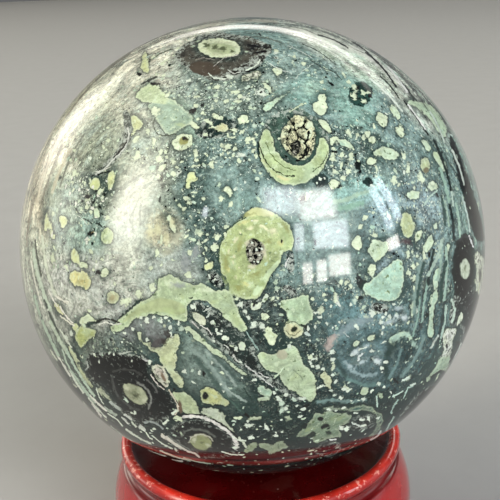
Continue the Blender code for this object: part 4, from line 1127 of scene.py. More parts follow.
# The far side is the near one mirrored, turned over and rolled round
FAR_ROLL = math.radians(112)
MIRROR = np.eye(3) - 2 * np.outer(RIGHTWARDS, RIGHTWARDS)
TURN_OVER = np.array(Matrix.Rotation(math.pi, 3, Vector(RIGHTWARDS)))
ROLL_ROUND = np.array(Matrix.Rotation(FAR_ROLL, 3, Vector(TOWARDS_EYE)))
FAR_TO_NEAR = ROLL_ROUND @ MIRROR @ TURN_OVER
BEND_ACROSS = (14.0, 47.0, 1.3)
BEND_DOWN = (13.0, 53.0, 0.7)
UNBENDING_ROUNDS = 14


def unit(vectors):
    lengths = np.linalg.norm(vectors, axis=-1, keepdims=True)
    return vectors / np.maximum(lengths, 1e-12)


def turned_axes(centre, reference, turn):
    """Two directions along the surface at right angles, turned by this angle from a reference."""
    level = unit(np.cross(centre, reference))
    first = math.cos(turn) * level + math.sin(turn) * np.cross(centre, level)
    return first, np.cross(centre, first)


def smooth_step(values, low, high):
    share = np.clip((values - low) / (high - low), 0.0, 1.0)
    return share * share * (3 - 2 * share)


def projected(points):
    """Drawing coordinates of points on the near side."""
    offsets = points - EYE
    depths = offsets @ TOWARDS_EYE * -1
    across = DRAWN_CENTRE[0] + FOCAL_LENGTH * (offsets @ RIGHTWARDS) / depths
    down = DRAWN_CENTRE[1] - FOCAL_LENGTH * (offsets @ UPWARDS) / depths
    return np.stack((across, down), axis=-1)


def edge_places(sideways):
    """Where the edge angle is drawn in these sideways directions."""
    held = math.cos(EDGE_ANGLE) * TOWARDS_EYE + math.sin(EDGE_ANGLE) * sideways
    return projected(held * SPHERE_RADII)


def angles_from_eye(directions):
    return np.arccos(np.clip(directions @ TOWARDS_EYE, -1.0, 1.0))


def drawn_near(directions):
    """Drawing coordinates of directions, which go on past the visible edge."""
    angles = angles_from_eye(directions)
    sideways = unit(directions - (directions @ TOWARDS_EYE)[:, None] * TOWARDS_EYE)
    inner = projected(directions * SPHERE_RADII)
    rim = edge_places(sideways)
    beyond = rim + EDGE_SLOPE * (angles - EDGE_ANGLE)[:, None] * unit(rim - DRAWN_CENTRE)
    return np.where((angles < EDGE_ANGLE)[:, None], inner, beyond)


def directions_near(places):
    """Directions that are drawn at these places."""
    offsets = (places - DRAWN_CENTRE) / FOCAL_LENGTH
    rays = -TOWARDS_EYE + offsets[:, :1] * RIGHTWARDS - offsets[:, 1:] * UPWARDS
    start = EYE / SPHERE_RADII
    steps = rays / SPHERE_RADII
    square = np.sum(steps * steps, axis=1)
    middle = steps @ start
    inside = np.maximum(middle * middle - square * (start @ start - 1), 0.0)
    reach = (-middle - np.sqrt(inside)) / square
    seen = unit(start + reach[:, None] * steps)
    sideways = unit(offsets[:, :1] * RIGHTWARDS - offsets[:, 1:] * UPWARDS)
    rim = edge_places(sideways)
    past = np.linalg.norm(places - DRAWN_CENTRE, axis=1) - np.linalg.norm(rim - DRAWN_CENTRE, axis=1)
    angles = np.clip(EDGE_ANGLE + past / EDGE_SLOPE, EDGE_ANGLE, LAST_MARK_ANGLE)[:, None]
    outer = np.cos(angles) * TOWARDS_EYE + np.sin(angles) * sideways
    return np.where((past < 0)[:, None], seen, outer)


def bent(places):
    across = places[:, 0] + BEND_ACROSS[0] * np.sin(places[:, 1] / BEND_ACROSS[1] + BEND_ACROSS[2])
    down = places[:, 1] + BEND_DOWN[0] * np.sin(places[:, 0] / BEND_DOWN[1] + BEND_DOWN[2])
    return np.stack((across, down), axis=-1)


def unbent(places):
    straight = places.copy()
    for _ in range(UNBENDING_ROUNDS):
        straight += places - bent(straight)
    return straight


def drawn_far(directions):
    return bent(drawn_near(directions @ FAR_TO_NEAR.T))


def directions_far(places):
    return directions_near(unbent(places)) @ FAR_TO_NEAR


def fading(angles):
    """How far the edges of areas draw in, where the drawing ends round the side."""
    return FADE_SLOPE * np.maximum(angles - FADE_ANGLE, 0.0)


SIDES = (
    (drawn_near, directions_near, np.eye(3)),
    (drawn_far, directions_far, FAR_TO_NEAR),
)


def ellipse_coordinates(places, ellipse):
    """Coordinates in an ellipse, which are 1 at the ends of its axes."""
    centre_x, centre_y, half_width, half_height, tilt = ellipse
    turn = math.radians(tilt)
    offset_x = places[:, 0] - centre_x
    offset_y = places[:, 1] - centre_y
    along = (offset_x * math.cos(turn) + offset_y * math.sin(turn)) / half_width
    across = (-offset_x * math.sin(turn) + offset_y * math.cos(turn)) / half_height
    return along, across


def depth_in_ellipse(places, ellipse):
    along, across = ellipse_coordinates(places, ellipse)
    size = np.maximum(np.hypot(along, across), 1e-6)
    slope = np.hypot(along / ellipse[2], across / ellipse[3]) / size
    depth = (1 - size) / np.maximum(slope, 1e-6)
    return np.minimum(depth, min(ellipse[2], ellipse[3]))


def rounded(outline):
    points = np.array(outline, float).reshape(-1, 2)
    for _ in range(SMOOTHINGS):
        following = np.roll(points, -1, axis=0)
        corners = (0.75 * points + 0.25 * following, 0.25 * points + 0.75 * following)
        points = np.stack(corners, axis=1).reshape(-1, 2)
    return points


def depth_in_outline(places, outline):
    """Distance to the outline, positive inside it."""
    ends = np.roll(outline, -1, axis=0)
    edges = ends - outline
    offsets = places[:, None, :] - outline[None]
    shares = np.sum(offsets * edges, axis=2) / np.maximum(np.sum(edges * edges, axis=1), 1e-9)
    gaps = offsets - np.clip(shares, 0.0, 1.0)[:, :, None] * edges
    distance = np.sqrt(np.min(np.sum(gaps * gaps, axis=2), axis=1))
    height = places[:, 1:]
    spans = (outline[:, 1] > height) != (ends[:, 1] > height)
    rises = np.where(np.abs(edges[:, 1]) < 1e-9, 1e-9, edges[:, 1])
    crossing_x = outline[:, 0] + edges[:, 0] * (height - outline[:, 1]) / rises
    crossings = np.sum(spans & (places[:, :1] < crossing_x), axis=1)
    return np.where(crossings % 2 == 1, distance, -distance)


# A mark's middle, its two directions, each over the mark's half size that way, the half length of its
# straight part over its half width, its colour, its order of painting and its softness
Mark = namedtuple("Mark", "middle u_axis v_axis core colour order softness")


class Surface:
    """The sphere's mesh, with what is painted on it."""

    def __init__(self, directions, faces):
        self.directions = directions
        self.points = directions * SPHERE_RADII
        self.faces = faces
        self.angles = angles_from_eye(directions)
        self.layers = {}
        self.ground = np.tile(np.array(TEAL), (len(directions), 1))
        self.crowd = np.ones(len(directions))
        self.marks = []

    def tint(self, colour, weights):
        weights = weights[:, None]
        self.ground = self.ground * (1 - weights) + np.array(colour) * weights

    def layer(self, name):
        if name not in self.layers:
            depths = np.full(len(self.directions), FAR_OUTSIDE)
            self.layers[name] = (depths, np.zeros((len(self.directions), 4)))
        return self.layers[name]

    def deepen(self, name, near, found, colour, crackle=0.0):
        """Keep the depths found where they are greater than those there."""
        depths, looks = self.layer(name)
        better = found > depths[near]
        chosen = near[better]
        depths[chosen] = found[better]
        looks[chosen] = (*colour, crackle)


def paint_tints(surface, places, angles):
    shown = 1 - smooth_step(angles, FADE_ANGLE - FADE_HALF_WIDTH, FADE_ANGLE + FADE_HALF_WIDTH)
    for colour, strength, *ellipse in TINTS.values():
        weights = 1 - smooth_step(np.hypot(*ellipse_coordinates(places, ellipse)), *TINT_EDGE)
        surface.tint(colour, strength * weights * shown)
    for density, *ellipse in CROWDS:
        weights = 1 - smooth_step(np.hypot(*ellipse_coordinates(places, ellipse)), *CROWD_EDGE)
        surface.crowd += (density - surface.crowd) * weights * shown


def paint_areas(surface, name, areas, places, angles):
    for colour, shape, *crackle in areas.values():
        if isinstance(shape, tuple):
            reach = max(shape[2:4])
            low = np.array(shape[:2]) - reach
            high = np.array(shape[:2]) + reach
        else:
            outline = rounded(shape)
            low = outline.min(axis=0)
            high = outline.max(axis=0)
        inside = np.all((places > low + FAR_OUTSIDE) & (places < high - FAR_OUTSIDE), axis=1)
        near = np.flatnonzero(inside & (angles < LAST_AREA_ANGLE))
        if len(near) == 0:
            continue
        if isinstance(shape, tuple):
            found = depth_in_ellipse(places[near], shape)
        else:
            found = depth_in_outline(places[near], outline)
        surface.deepen(name, near, found - fading(angles[near]), colour, *crackle)


def scatter_blobs(surface, draw):
    """Wavy patches round the side, between the two drawings."""
    for number in range(BLOBS):
        azimuth = draw.uniform(0, 2 * math.pi)
        angle = math.radians(draw.uniform(*BLOB_ANGLES))
        sideways = math.cos(azimuth) * RIGHTWARDS + math.sin(azimuth) * UPWARDS
        centre = math.cos(angle) * TOWARDS_EYE + math.sin(angle) * sideways
        first, second = turned_axes(centre, TOWARDS_EYE, draw.uniform(-BLOB_TURN, BLOB_TURN))
        phases = draw.uniform(0, 2 * math.pi, len(BLOB_WAVES))
        colour = BLOB_COLOURS[number % len(BLOB_COLOURS)]
        size = draw.uniform(*BLOB_SIZE_SHARES) ** 2 * LARGEST_BLOB
        thinness = draw.uniform(*BLOB_THINNESS)
        offsets = (surface.directions - centre) * MEAN_RADIUS
        near = np.flatnonzero(np.sum(offsets * offsets, axis=1) < (2 * size + BLOB_MARGIN) ** 2)
        along = offsets[near] @ first
        across = offsets[near] @ second / thinness
        turns = np.arctan2(across, along)
        wavy = 1.0
        for (height, count), phase in zip(BLOB_WAVES, phases):
            wavy = wavy + height * np.sin(count * turns + phase)
        distance = np.hypot(along, across)
        hiding = BLOB_HIDING * (1 - smooth_step(surface.angles[near], *BLOB_FADE))
        steepness = thinness * BLOB_SLOPE
        found = np.minimum((size * wavy - distance) * steepness, BLOB_DEEPEST)
        name = "dark" if colour in (BLACK, INK) else "pale"
        surface.deepen(name, near, found - hiding, colour)
        if number % HEART_EVERY == 1 and size > HEART_LEAST_SIZE:
            found = np.minimum((HEART_SHARE * size * wavy - distance) * steepness, BLOB_DEEPEST)
            surface.deepen("inner", near, found - hiding, BLACK, HEART_CRACKLE)


def scatter_tints(surface, draw):
    """Soft tints round the side."""
    for number in range(SIDE_TINTS):
        centre = unit(draw.normal(size=3))
        size = draw.uniform(*SIDE_TINT_SIZES) * MM
        distance = np.linalg.norm(surface.directions - centre, axis=1) * MEAN_RADIUS
        weights = 1 - smooth_step(distance / size, *SIDE_TINT_EDGE)
        shown = smooth_step(surface.angles, *SIDE_TINT_FADE)
        colour = SIDE_TINT_COLOURS[number % len(SIDE_TINT_COLOURS)]
        surface.tint(colour, SIDE_TINT_STRENGTH * weights * shown)


def marks_at(side, places, tilts, along, across, cores, colours, order, softness):
    """Marks given in drawing coordinates, worked out on the surface."""
    drawn, directions_at, _ = side
    centres = directions_at(places)
    first = unit(np.cross(centres, MARK_REFERENCE))
    second = np.cross(centres, first)
    step = SLOPE_STEP / MEAN_RADIUS
    slopes = []
    for tangent in (first, second):
        ahead = drawn(unit(centres + step * tangent))
        behind = drawn(unit(centres - step * tangent))
        slopes.append((ahead - behind) / (2 * SLOPE_STEP))
    slope_x = slopes[0][:, :1] * first + slopes[1][:, :1] * second
    slope_y = slopes[0][:, 1:] * first + slopes[1][:, 1:] * second
    cosine = np.cos(tilts)[:, None]
    sine = np.sin(tilts)[:, None]
    u_axes = (cosine * slope_x + sine * slope_y) / along[:, None]
    v_axes = (cosine * slope_y - sine * slope_x) / across[:, None]
    middles = centres * SPHERE_RADII
    rows = zip(middles, u_axes, v_axes, cores, colours)
    return [Mark(*row, order, softness) for row in rows]


def stroke_marks(side, strokes, order, softness):
    places = []
    tilts = []
    widths = []
    cores = []
    colours = []
    for colour, half_width, corners in strokes:
        points = np.array(corners, float).reshape(-1, 2)
        for start, end in zip(points[:-1], points[1:]):
            edge = end - start
            places.append(0.5 * (start + end))
            tilts.append(math.atan2(edge[1], edge[0]))
            widths.append(half_width)
            cores.append(0.5 * float(np.hypot(*edge)) / half_width)
            colours.append(colour)
    sizes = (np.array(widths), np.array(widths))
    return marks_at(side, np.array(places), np.array(tilts), *sizes, cores, colours, order, softness)


def fleck_marks(side, table, order, softness):
    numbers = np.array([fleck for _, flecks in table for fleck in flecks], float)
    colours = [colour for colour, flecks in table for _ in flecks]
    tilts = np.radians(numbers[:, 4])
    sizes = (numbers[:, 2], numbers[:, 3])
    cores = [0.0] * len(numbers)
    return marks_at(side, numbers[:, :2], tilts, *sizes, cores, colours, order, softness)


def loose_marks(surface, draw):
    """Small flecks strewn over the ground, thicker where they crowd."""
    corners = surface.points[surface.faces]
    centres = corners.mean(axis=1)
    spans = np.cross(corners[:, 2] - corners[:, 0], corners[:, 3] - corners[:, 1])
    weights = 0.5 * np.linalg.norm(spans, axis=1) * surface.crowd[surface.faces].mean(axis=1)
    for name, clear, share in (
        ("pale", PALE_DEPTH_KEPT_CLEAR, SHARE_ON_PALE),
        ("dark", DARK_DEPTH_KEPT_CLEAR, SHARE_ON_DARK),
    ):
        depths = surface.layer(name)[0][surface.faces].max(axis=1)
        weights = weights * np.where(depths > clear, share, 1.0)
    picked = draw.choice(len(centres), LOOSE_FLECKS, p=weights / weights.sum())
    marks = []
    for number, face in enumerate(picked):
        centre = unit(centres[face] + draw.normal(0, LOOSE_SHIFT, 3))
        along, across = turned_axes(centre, LOOSE_REFERENCE, draw.uniform(0, math.pi))
        size = min(LOOSE_SIZE_MM * math.exp(draw.exponential(LOOSE_SPREAD)), LARGEST_LOOSE_MM) * MM
        thinness = draw.uniform(*LOOSE_THINNESS)
        softness = draw.uniform(*LOOSE_SOFTNESS)
        colour = LOOSE_COLOURS[number % len(LOOSE_COLOURS)]
        u_axis = along / size
        v_axis = across / (size * thinness)
        marks.append(Mark(centre * SPHERE_RADII, u_axis, v_axis, 0.0, colour, 0, softness))
    return marks


def mark_reach(mark):
    """Furthest distance of a mark's edge from its middle."""
    across = mark.u_axis @ mark.v_axis
    gram = np.array(((mark.u_axis @ mark.u_axis, across), (across, mark.v_axis @ mark.v_axis)))
    inverse = np.linalg.inv(gram)
    return math.sqrt(inverse[0, 0] * (1 + mark.core) ** 2) + math.sqrt(inverse[1, 1])


def marks_near_faces(marks, centres):
    """Pairs of a face and a mark near it, with the gap between them."""
    tree = KDTree(len(centres))
    for number, centre in enumerate(centres):
        tree.insert(centre, number)
    tree.balance()
    found = []
    for number, mark in enumerate(marks):
        reach = mark_reach(mark)
        if reach > LONGEST_MARK:
            continue
        near = np.array([hit[1] for hit in tree.find_range(mark.middle, reach + MARK_MARGIN)], int)
        if len(near) == 0:
            continue
        offsets = centres[near] - mark.middle
        along = np.maximum(np.abs(offsets @ mark.u_axis) - mark.core, 0.0)
        size = np.hypot(along, offsets @ mark.v_axis)
        gaps = (size - 1) / max(np.linalg.norm(mark.u_axis), np.linalg.norm(mark.v_axis))
        found.append((near, np.full(len(near), number), gaps))
    return (np.concatenate(column) for column in zip(*found))


def marks_on_faces(surface):
    """The nearest marks of each face, as arrays for the material, later ones painted over earlier."""
    centres = surface.points[surface.faces].mean(axis=1)
    faces, marks, gaps = marks_near_faces(surface.marks, centres)
    faces, marks, _ = ranked(faces, marks, gaps)
    orders = np.array([mark.order for mark in surface.marks])
    faces, marks, slots = ranked(faces, marks, orders[marks] * len(orders) + marks)
    arrays = []
    for slot in range(MARKS_PER_FACE):
        chosen = slots == slot
        u_axes, v_axes, colours = np.zeros((3, len(centres), 3))
        places = np.tile((NO_MARK_HERE, NO_MARK_HERE, 0.0), (len(centres), 1))
        softness = np.zeros(len(centres))
        for face, number in zip(faces[chosen], marks[chosen]):
            mark = surface.marks[number]
            u_axes[face] = mark.u_axis
            v_axes[face] = mark.v_axis
            places[face] = (mark.middle @ mark.u_axis, mark.middle @ mark.v_axis, mark.core)
            colours[face] = mark.colour
            softness[face] = mark.softness
        arrays.append((u_axes, v_axes, places, colours, softness))
    return arrays


def ranked(faces, marks, keys):
    """The pairs of face and mark with the lowest keys of each face, and their ranks."""
    order = np.lexsort((keys, faces))
    faces = faces[order]
    marks = marks[order]
    starts = np.concatenate(([True], faces[1:] != faces[:-1]))
    first = np.maximum.accumulate(np.where(starts, np.arange(len(faces)), 0))
    ranks = np.arange(len(faces)) - first
    kept = ranks < MARKS_PER_FACE
    return faces[kept], marks[kept], ranks[kept]


def crowded_sphere():
    """Directions and faces of a cube's grid blown up to a sphere, finer towards the viewpoint."""
    shape = bmesh.new()
    bmesh.ops.create_cube(shape, size=2.0)
    bmesh.ops.subdivide_edges(shape, edges=shape.edges[:], cuts=CELLS_PER_EDGE - 1, use_grid_fill=True)
    shape.verts.index_update()
    corners = np.array([vertex.co[:] for vertex in shape.verts])
    faces = np.array([[vertex.index for vertex in face.verts] for face in shape.faces])
    shape.free()
    cube = unit(np.tan(0.25 * math.pi * corners))
    frame_axes = np.stack((LEVEL_RIGHT, LEVEL_UP, TOWARDS_EYE))
    angles = np.arccos(np.clip(cube[:, 2], -1.0, 1.0))
    drawn_in = 2 * np.arctan(CROWDING * np.tan(0.5 * np.minimum(angles, math.pi - 1e-9)))
    sideways = cube.copy()
    sideways[:, 2] = 0.0
    sideways = unit(sideways)
    turned = np.sin(drawn_in)[:, None] * sideways
    turned[:, 2] = np.cos(drawn_in)
    return turned @ frame_axes, faces


def set_attribute(mesh, name, kind, domain, values):
    attribute = mesh.attributes.new(name, kind, domain)
    field = "vector" if kind == "FLOAT_VECTOR" else "value"
    attribute.data.foreach_set(field, np.ascontiguousarray(values, dtype=np.float32).ravel())


def make_sphere(material):
    draw = np.random.default_rng(SEED)
    surface = Surface(*crowded_sphere())
    for drawn, _, turned in SIDES:
        places = drawn(surface.directions)
        angles = angles_from_eye(surface.directions @ turned.T)
        paint_tints(surface, places, angles)
        paint_areas(surface, "dark", DARK_AREAS, places, angles)
        paint_areas(surface, "pale", PALE_AREAS, places, angles)
        paint_areas(surface, "inner", INNER_AREAS, places, angles)
    scatter_blobs(surface, draw)
    scatter_tints(surface, draw)

    # Loose marks have order 0, and marks of a higher order are painted over those of a lower one
    surface.marks += loose_marks(surface, draw)
    # Streaks along the near side's limb, the pale ones partly painted light and painted reflection
    surface.marks += stroke_marks(SIDES[0], LIMB_STROKES, 1, SOFT)
    for side in SIDES:
        surface.marks += stroke_marks(side, SOFT_STROKES, 1, SOFT)
        surface.marks += fleck_marks(side, SOFT_FLECKS, 2, SOFT)
        surface.marks += stroke_marks(side, STROKES, 3, STROKE_SOFTNESS)
        surface.marks += fleck_marks(side, FLECKS, 4, FLECK_SOFTNESS)

    mesh = bpy.data.meshes.new("polished_jasper")
    mesh.from_pydata(surface.points.tolist(), [], surface.faces.tolist())
    mesh.shade_smooth()
    set_attribute(mesh, "ground", "FLOAT_VECTOR", "POINT", surface.ground)
    set_attribute(mesh, "crowd", "FLOAT", "POINT", surface.crowd)
    for name, (depths, looks) in surface.layers.items():
        set_attribute(mesh, name + "_depth", "FLOAT", "POINT", depths)
        set_attribute(mesh, name + "_colour", "FLOAT_VECTOR", "POINT", looks[:, :3])
        set_attribute(mesh, name + "_crackle", "FLOAT", "POINT", looks[:, 3])
    for slot, arrays in enumerate(marks_on_faces(surface)):
        for name, values in zip(("mark_u", "mark_v", "mark_place", "mark_colour"), arrays):
            set_attribute(mesh, f"{name}_{slot}", "FLOAT_VECTOR", "FACE", values)
        set_attribute(mesh, f"mark_softness_{slot}", "FLOAT", "FACE", arrays[-1])
    mesh.materials.append(material)
    sphere = bpy.data.objects.new("polished_jasper", mesh)
    bpy.context.scene.collection.objects.link(sphere)
    sphere.location = SPHERE_CENTRE
    return sphere


class Weaver:
    """Short ways to add a material's nodes and to link them."""

    def __init__(self, owner):
        owner.use_nodes = True
        self.tree = owner.node_tree

    def put(self, socket, value):
        if isinstance(value, bpy.types.NodeSocket):
            self.tree.links.new(value, socket)
        elif isinstance(value, tuple) and len(value) == 3 and socket.type == "RGBA":
            socket.default_value = (*value, 1.0)
        else:
            socket.default_value = value

    def add(self, kind, values, output=0, **settings):
        node = self.tree.nodes.new(kind)
        for name, value in settings.items():
            setattr(node, name, value)
        for name, value in values.items():
            self.put(node.inputs[name], value)
        return node.outputs[output]

    def maths(self, operation, *values, clamp=False):
        return self.add("ShaderNodeMath", dict(enumerate(values)), operation=operation, use_clamp=clamp)

    def times(self, first, second):
        return self.maths("MULTIPLY", first, second)

    def vector(self, operation, *values, scale=None):
        values = dict(enumerate(values))
        if scale is not None:
            values["Scale"] = scale
        output = "Value" if operation in ("DOT_PRODUCT", "LENGTH") else "Vector"
        return self.add("ShaderNodeVectorMath", values, output, operation=operation)

    def step(self, value, low, high, first=0.0, second=1.0):
        values = {"Value": value, "From Min": low, "From Max": high, "To Min": first, "To Max": second}
        return self.add("ShaderNodeMapRange", values, interpolation_type="SMOOTHSTEP")

    def blend(self, share, first, second):
        values = {0: share, 6: first, 7: second}
        return self.add("ShaderNodeMix", values, 2, data_type="RGBA")

    def shade(self, colour, factor):
        """The colour times a number."""
        return self.vector("SCALE", colour, scale=factor)

    def noise(self, place, scale, detail=4.0, roughness=0.6, distortion=0.0, output="Fac"):
        values = {
            "Vector": place, "Scale": scale, "Detail": detail,
            "Roughness": roughness, "Distortion": distortion,
        }
        return self.add("ShaderNodeTexNoise", values, output)

    def sway(self, place, scale, detail, roughness):
        """A noise of three shares about zero."""
        shares = self.noise(place, scale, detail, roughness, output="Color")
        return self.vector("SUBTRACT", shares, (0.5, 0.5, 0.5))

    def pushed(self, place, push, reach):
        return self.vector("ADD", place, self.vector("SCALE", push, scale=reach))

    def split(self, vector, kind="XYZ"):
        """The three parts of a vector or a colour."""
        node = self.tree.nodes.new("ShaderNodeSeparate" + kind)
        self.put(node.inputs[0], vector)
        return tuple(node.outputs)[:3]

    def grid(self):
        """Places on the piece, and the same in millimetres."""
        place = self.add("ShaderNodeTexCoord", {}, "Object")
        return place, self.vector("SCALE", place, scale=1 / MM)

    def stored(self, name, output="Vector"):
        return self.add("ShaderNodeAttribute", {}, output, attribute_name=name)

    def mixed(self, share, first, second):
        """The number between two others."""
        return self.maths("MULTIPLY_ADD", share, self.maths("SUBTRACT", second, first), first)

    def ridge(self, value, middle, half_width, strength):
        """High along the lines where a noise passes through a value."""
        distance = self.maths("ABSOLUTE", self.maths("SUBTRACT", value, middle))
        return self.step(distance, 0.0, half_width, strength, 0.0)

    def scribble(self, crackle, share, reach, low):
        """High where a noise passes a limit, more of it for a greater share."""
        return self.step(self.maths("MULTIPLY_ADD", share, reach, crackle), low, low + 0.04)

    def cells(self, place, scale, share, size, spread, metric="EUCLIDEAN"):
        """Distances in random cells over a random radius, which cells are picked, and a random number."""
        node = self.tree.nodes.new("ShaderNodeTexVoronoi")
        node.distance = metric
        self.put(node.inputs["Vector"], place)
        node.inputs["Scale"].default_value = scale
        draws = self.split(node.outputs["Color"], "Color")
        present = self.maths("LESS_THAN", draws[0], share)
        radius = self.maths("MULTIPLY_ADD", draws[1], spread * size, (1 - spread) * size)
        return self.maths("DIVIDE", node.outputs["Distance"], radius), present, draws[2]

    def crumbs(self, colour, place, scale, share, size, first, second, metric="EUCLIDEAN"):
        """Ragged crumbs painted in a share of random cells, each in a thin dark surround."""
        ratio, present, choice = self.cells(place, scale, share, size, 0.6, metric)
        surround = self.times(self.step(ratio, 2.1, 1.0, 0.0, 0.4), present)
        colour = self.blend(surround, colour, INK)
        body = self.times(self.step(ratio, 1.25, 0.75), present)
        return self.blend(body, colour, self.blend(choice, first, second))

    def specks(self, place, scale, share, size):
        """Round dots in a share of random cells, of random sizes up to this one."""
        ratio, present, _ = self.cells(place, scale, share, size, 0.7)
        return self.times(self.step(ratio, 1.2, 0.8), present)


def stone_noises(weave):
    """Places, stored values and noises that several layers of the stone share, in millimetres."""
    stone = SimpleNamespace()
    stone.place, stone.grid = weave.grid()
    stone.height = weave.split(stone.grid)[2]
    stone.crowd = weave.stored("crowd", "Fac")
    stone.frayed = weave.pushed(stone.grid, weave.sway(stone.grid, 1.6, 4.0, 0.7), 1.1)
    stone.cloud = weave.noise(stone.grid, 0.17, 7.0, 0.62, 0.5)
    stone.mottle = weave.noise(stone.grid, 0.75, 6.0, 0.68)
    stone.grain = weave.noise(stone.grid, 2.4, 4.0, 0.65)
    stone.blots = weave.noise(stone.grid, 1.3, 4.0, 0.62)
    stone.inside = weave.noise(stone.grid, 0.55, 6.0, 0.62, 0.4)
    stone.crackle = weave.noise(stone.frayed, 1.7, 5.0, 0.72)

    # Smoke drawn out along a slanting axis
    drift = weave.sway(stone.grid, 0.09, 2.0, 0.5)
    brushed = weave.add("ShaderNodeMapping", {
        "Vector": weave.pushed(stone.grid, drift, 22.0),
        "Rotation": (0.3, 0.8, 0.5),
        "Scale": (0.2, 1.3, 1.3),
    })
    stone.smoke = weave.noise(brushed, 0.55, 7.0, 0.66, 0.4)

    # Streaks that flow round the side, and how far round the side a place is
    gently = weave.pushed(stone.grid, drift, 9.0)
    inward = weave.vector("DOT_PRODUCT", gently, STREAK_AXIS)
    stretch = weave.vector("SCALE", STREAK_AXIS, scale=weave.times(inward, 0.8))
    stone.streaks = weave.noise(weave.pushed(stretch, gently, 0.1), 1.0, 6.0, 0.64)
    depth = weave.maths("ABSOLUTE", weave.vector("DOT_PRODUCT", stone.grid, STREAK_AXIS))
    stone.sides = weave.step(depth, 29.0, 17.0)

    # How far the edges of areas wander from the drawn ones
    sway = weave.maths("MULTIPLY_ADD", weave.noise(stone.grid, 0.55, 3.0, 0.6), 7.0, -3.5)
    nibble = weave.maths("MULTIPLY_ADD", weave.noise(stone.grid, 2.1, 3.0, 0.6), 4.2, -2.1)
    stone.wobble = weave.maths("ADD", sway, nibble)
    return stone


def streaked(weave, stone, ground):
    """The ground with pale and dark streaks and thin threads, round the side."""
    banded = weave.step(stone.streaks, 0.34, 0.64, 0.5, 1.55)
    ground = weave.shade(ground, weave.mixed(stone.sides, 1.0, banded))
    right = weave.times(stone.sides, weave.step(weave.split(stone.grid)[0], 6.0, 26.0))
    pale_flow = weave.times(right, weave.step(stone.streaks, 0.52, 0.57, 0.0, 0.75))
    ground = weave.blend(pale_flow, ground, FLOW_PALE)
    dark_flow = weave.times(right, weave.step(stone.streaks, 0.46, 0.41, 0.0, 0.85))
    ground = weave.blend(dark_flow, ground, FLOW_DARK)
    upper = weave.times(stone.sides, weave.step(stone.height, 2.0, 16.0, 0.15, 1.0))
    thread = weave.times(weave.ridge(stone.streaks, 0.47, 0.018, 0.75), upper)
    return weave.blend(thread, ground, THREAD)


def ground_colour(weave, stone):
    """Soft tints under clouds, smoke, streaks, mottling, veins, cracks and crumbs, with painted shade
    towards the seat.
    """
    ground = weave.stored("ground")
    ground = weave.blend(weave.step(stone.cloud, 0.5, 0.72, 0.0, 0.5), ground, CLOUD)
    ground = weave.blend(weave.step(stone.cloud, 0.5, 0.3, 0.0, 0.55), ground, DEEP)
    ground = weave.blend(weave.step(stone.smoke, 0.5, 0.68, 0.0, 0.5), ground, SMOKE_PALE)
    ground = weave.blend(weave.step(stone.smoke, 0.49, 0.34, 0.0, 0.6), ground, DEEP)
    ground = streaked(weave, stone, ground)

    busy = weave.step(stone.crowd, 0.2, 1.5)
    rough = weave.step(stone.mottle, 0.3, 0.72, 0.4, 1.6)
    calm = weave.step(stone.mottle, 0.3, 0.72, 0.78, 1.24)
    ground = weave.shade(ground, weave.mixed(busy, calm, rough))
    ground = weave.shade(ground, weave.step(stone.grain, 0.3, 0.7, 0.66, 1.4))
    dusky = weave.step(stone.crowd, 1.2, 2.6, 0.0, 0.45)
    dusky = weave.times(dusky, weave.step(stone.cloud, 0.66, 0.42))
    ground = weave.blend(dusky, ground, DEEP)

    vein = weave.ridge(weave.noise(stone.grid, 0.21, 6.0, 0.6, 1.6), 0.5, 0.016, 0.5)
    ground = weave.blend(vein, ground, VEIN)
    crack = weave.ridge(weave.noise(stone.grid, 0.33, 5.0, 0.6, 2.2), 0.47, 0.012, 0.55)
    ground = weave.blend(crack, ground, INK)
    blotted = weave.step(stone.blots, 0.58, 0.67, 0.0, weave.step(busy, 0.0, 1.0, 0.2, 0.75))
    ground = weave.blend(blotted, ground, INK)
    frosty = weave.maths("SUBTRACT", weave.maths("MULTIPLY_ADD", stone.crowd, 0.022, 0.325), stone.blots)
    ground = weave.blend(weave.step(frosty, 0.0, 0.03, 0.0, 0.8), ground, FROST)

    def share(most):
        return weave.times(stone.crowd, most)

    ground = weave.crumbs(ground, stone.frayed, 1.05, share(0.11), 0.5, PALE, MINT, "MANHATTAN")
    ground = weave.crumbs(ground, stone.frayed, 2.0, share(0.17), 0.4, FROST, CREAM)
    ground = weave.blend(weave.specks(stone.frayed, 2.6, share(0.14), 0.4), ground, BLACK)
    ground = weave.blend(weave.specks(stone.frayed, 3.4, share(0.2), 0.42), ground, WHITE)
    # Painted shade: the ground darker and greener towards the seat
    ground = weave.shade(ground, weave.step(stone.height, -20.0, 22.0, 0.3, 1.0))
    return weave.blend(weave.step(stone.height, 6.0, -20.0, 0.0, 0.5), ground, GROUND_PAINTED_SHADE)


def with_dark_areas(weave, stone, colour):
    """Dark areas, hazy at the rim, some with pale crackle."""
    depth = weave.maths("ADD", weave.stored("dark_depth", "Fac"), stone.wobble)
    dark = weave.shade(weave.stored("dark_colour"), weave.step(stone.mottle, 0.3, 0.72, 0.4, 2.2))
    share = weave.stored("dark_crackle", "Fac")
    near_rim = weave.times(weave.step(depth, 8.0, 0.0, 0.0, 0.8), weave.step(share, 0.0, 0.08))
    share = weave.maths("ADD", share, near_rim, clamp=True)
    dark = weave.blend(weave.step(depth, 4.0, 0.0, 0.0, 0.3), dark, DEEP)
    scribble = weave.scribble(stone.crackle, share, 0.13, 0.62)
    dark = weave.blend(weave.times(scribble, weave.mixed(share, 0.3, 0.9)), dark, DARK_SCRIBBLE)
    dark = weave.blend(weave.specks(stone.frayed, 2.1, 0.16, 0.32), dark, DARK_SPECK)
    return weave.blend(weave.step(depth, -0.6, 0.6), colour, dark)


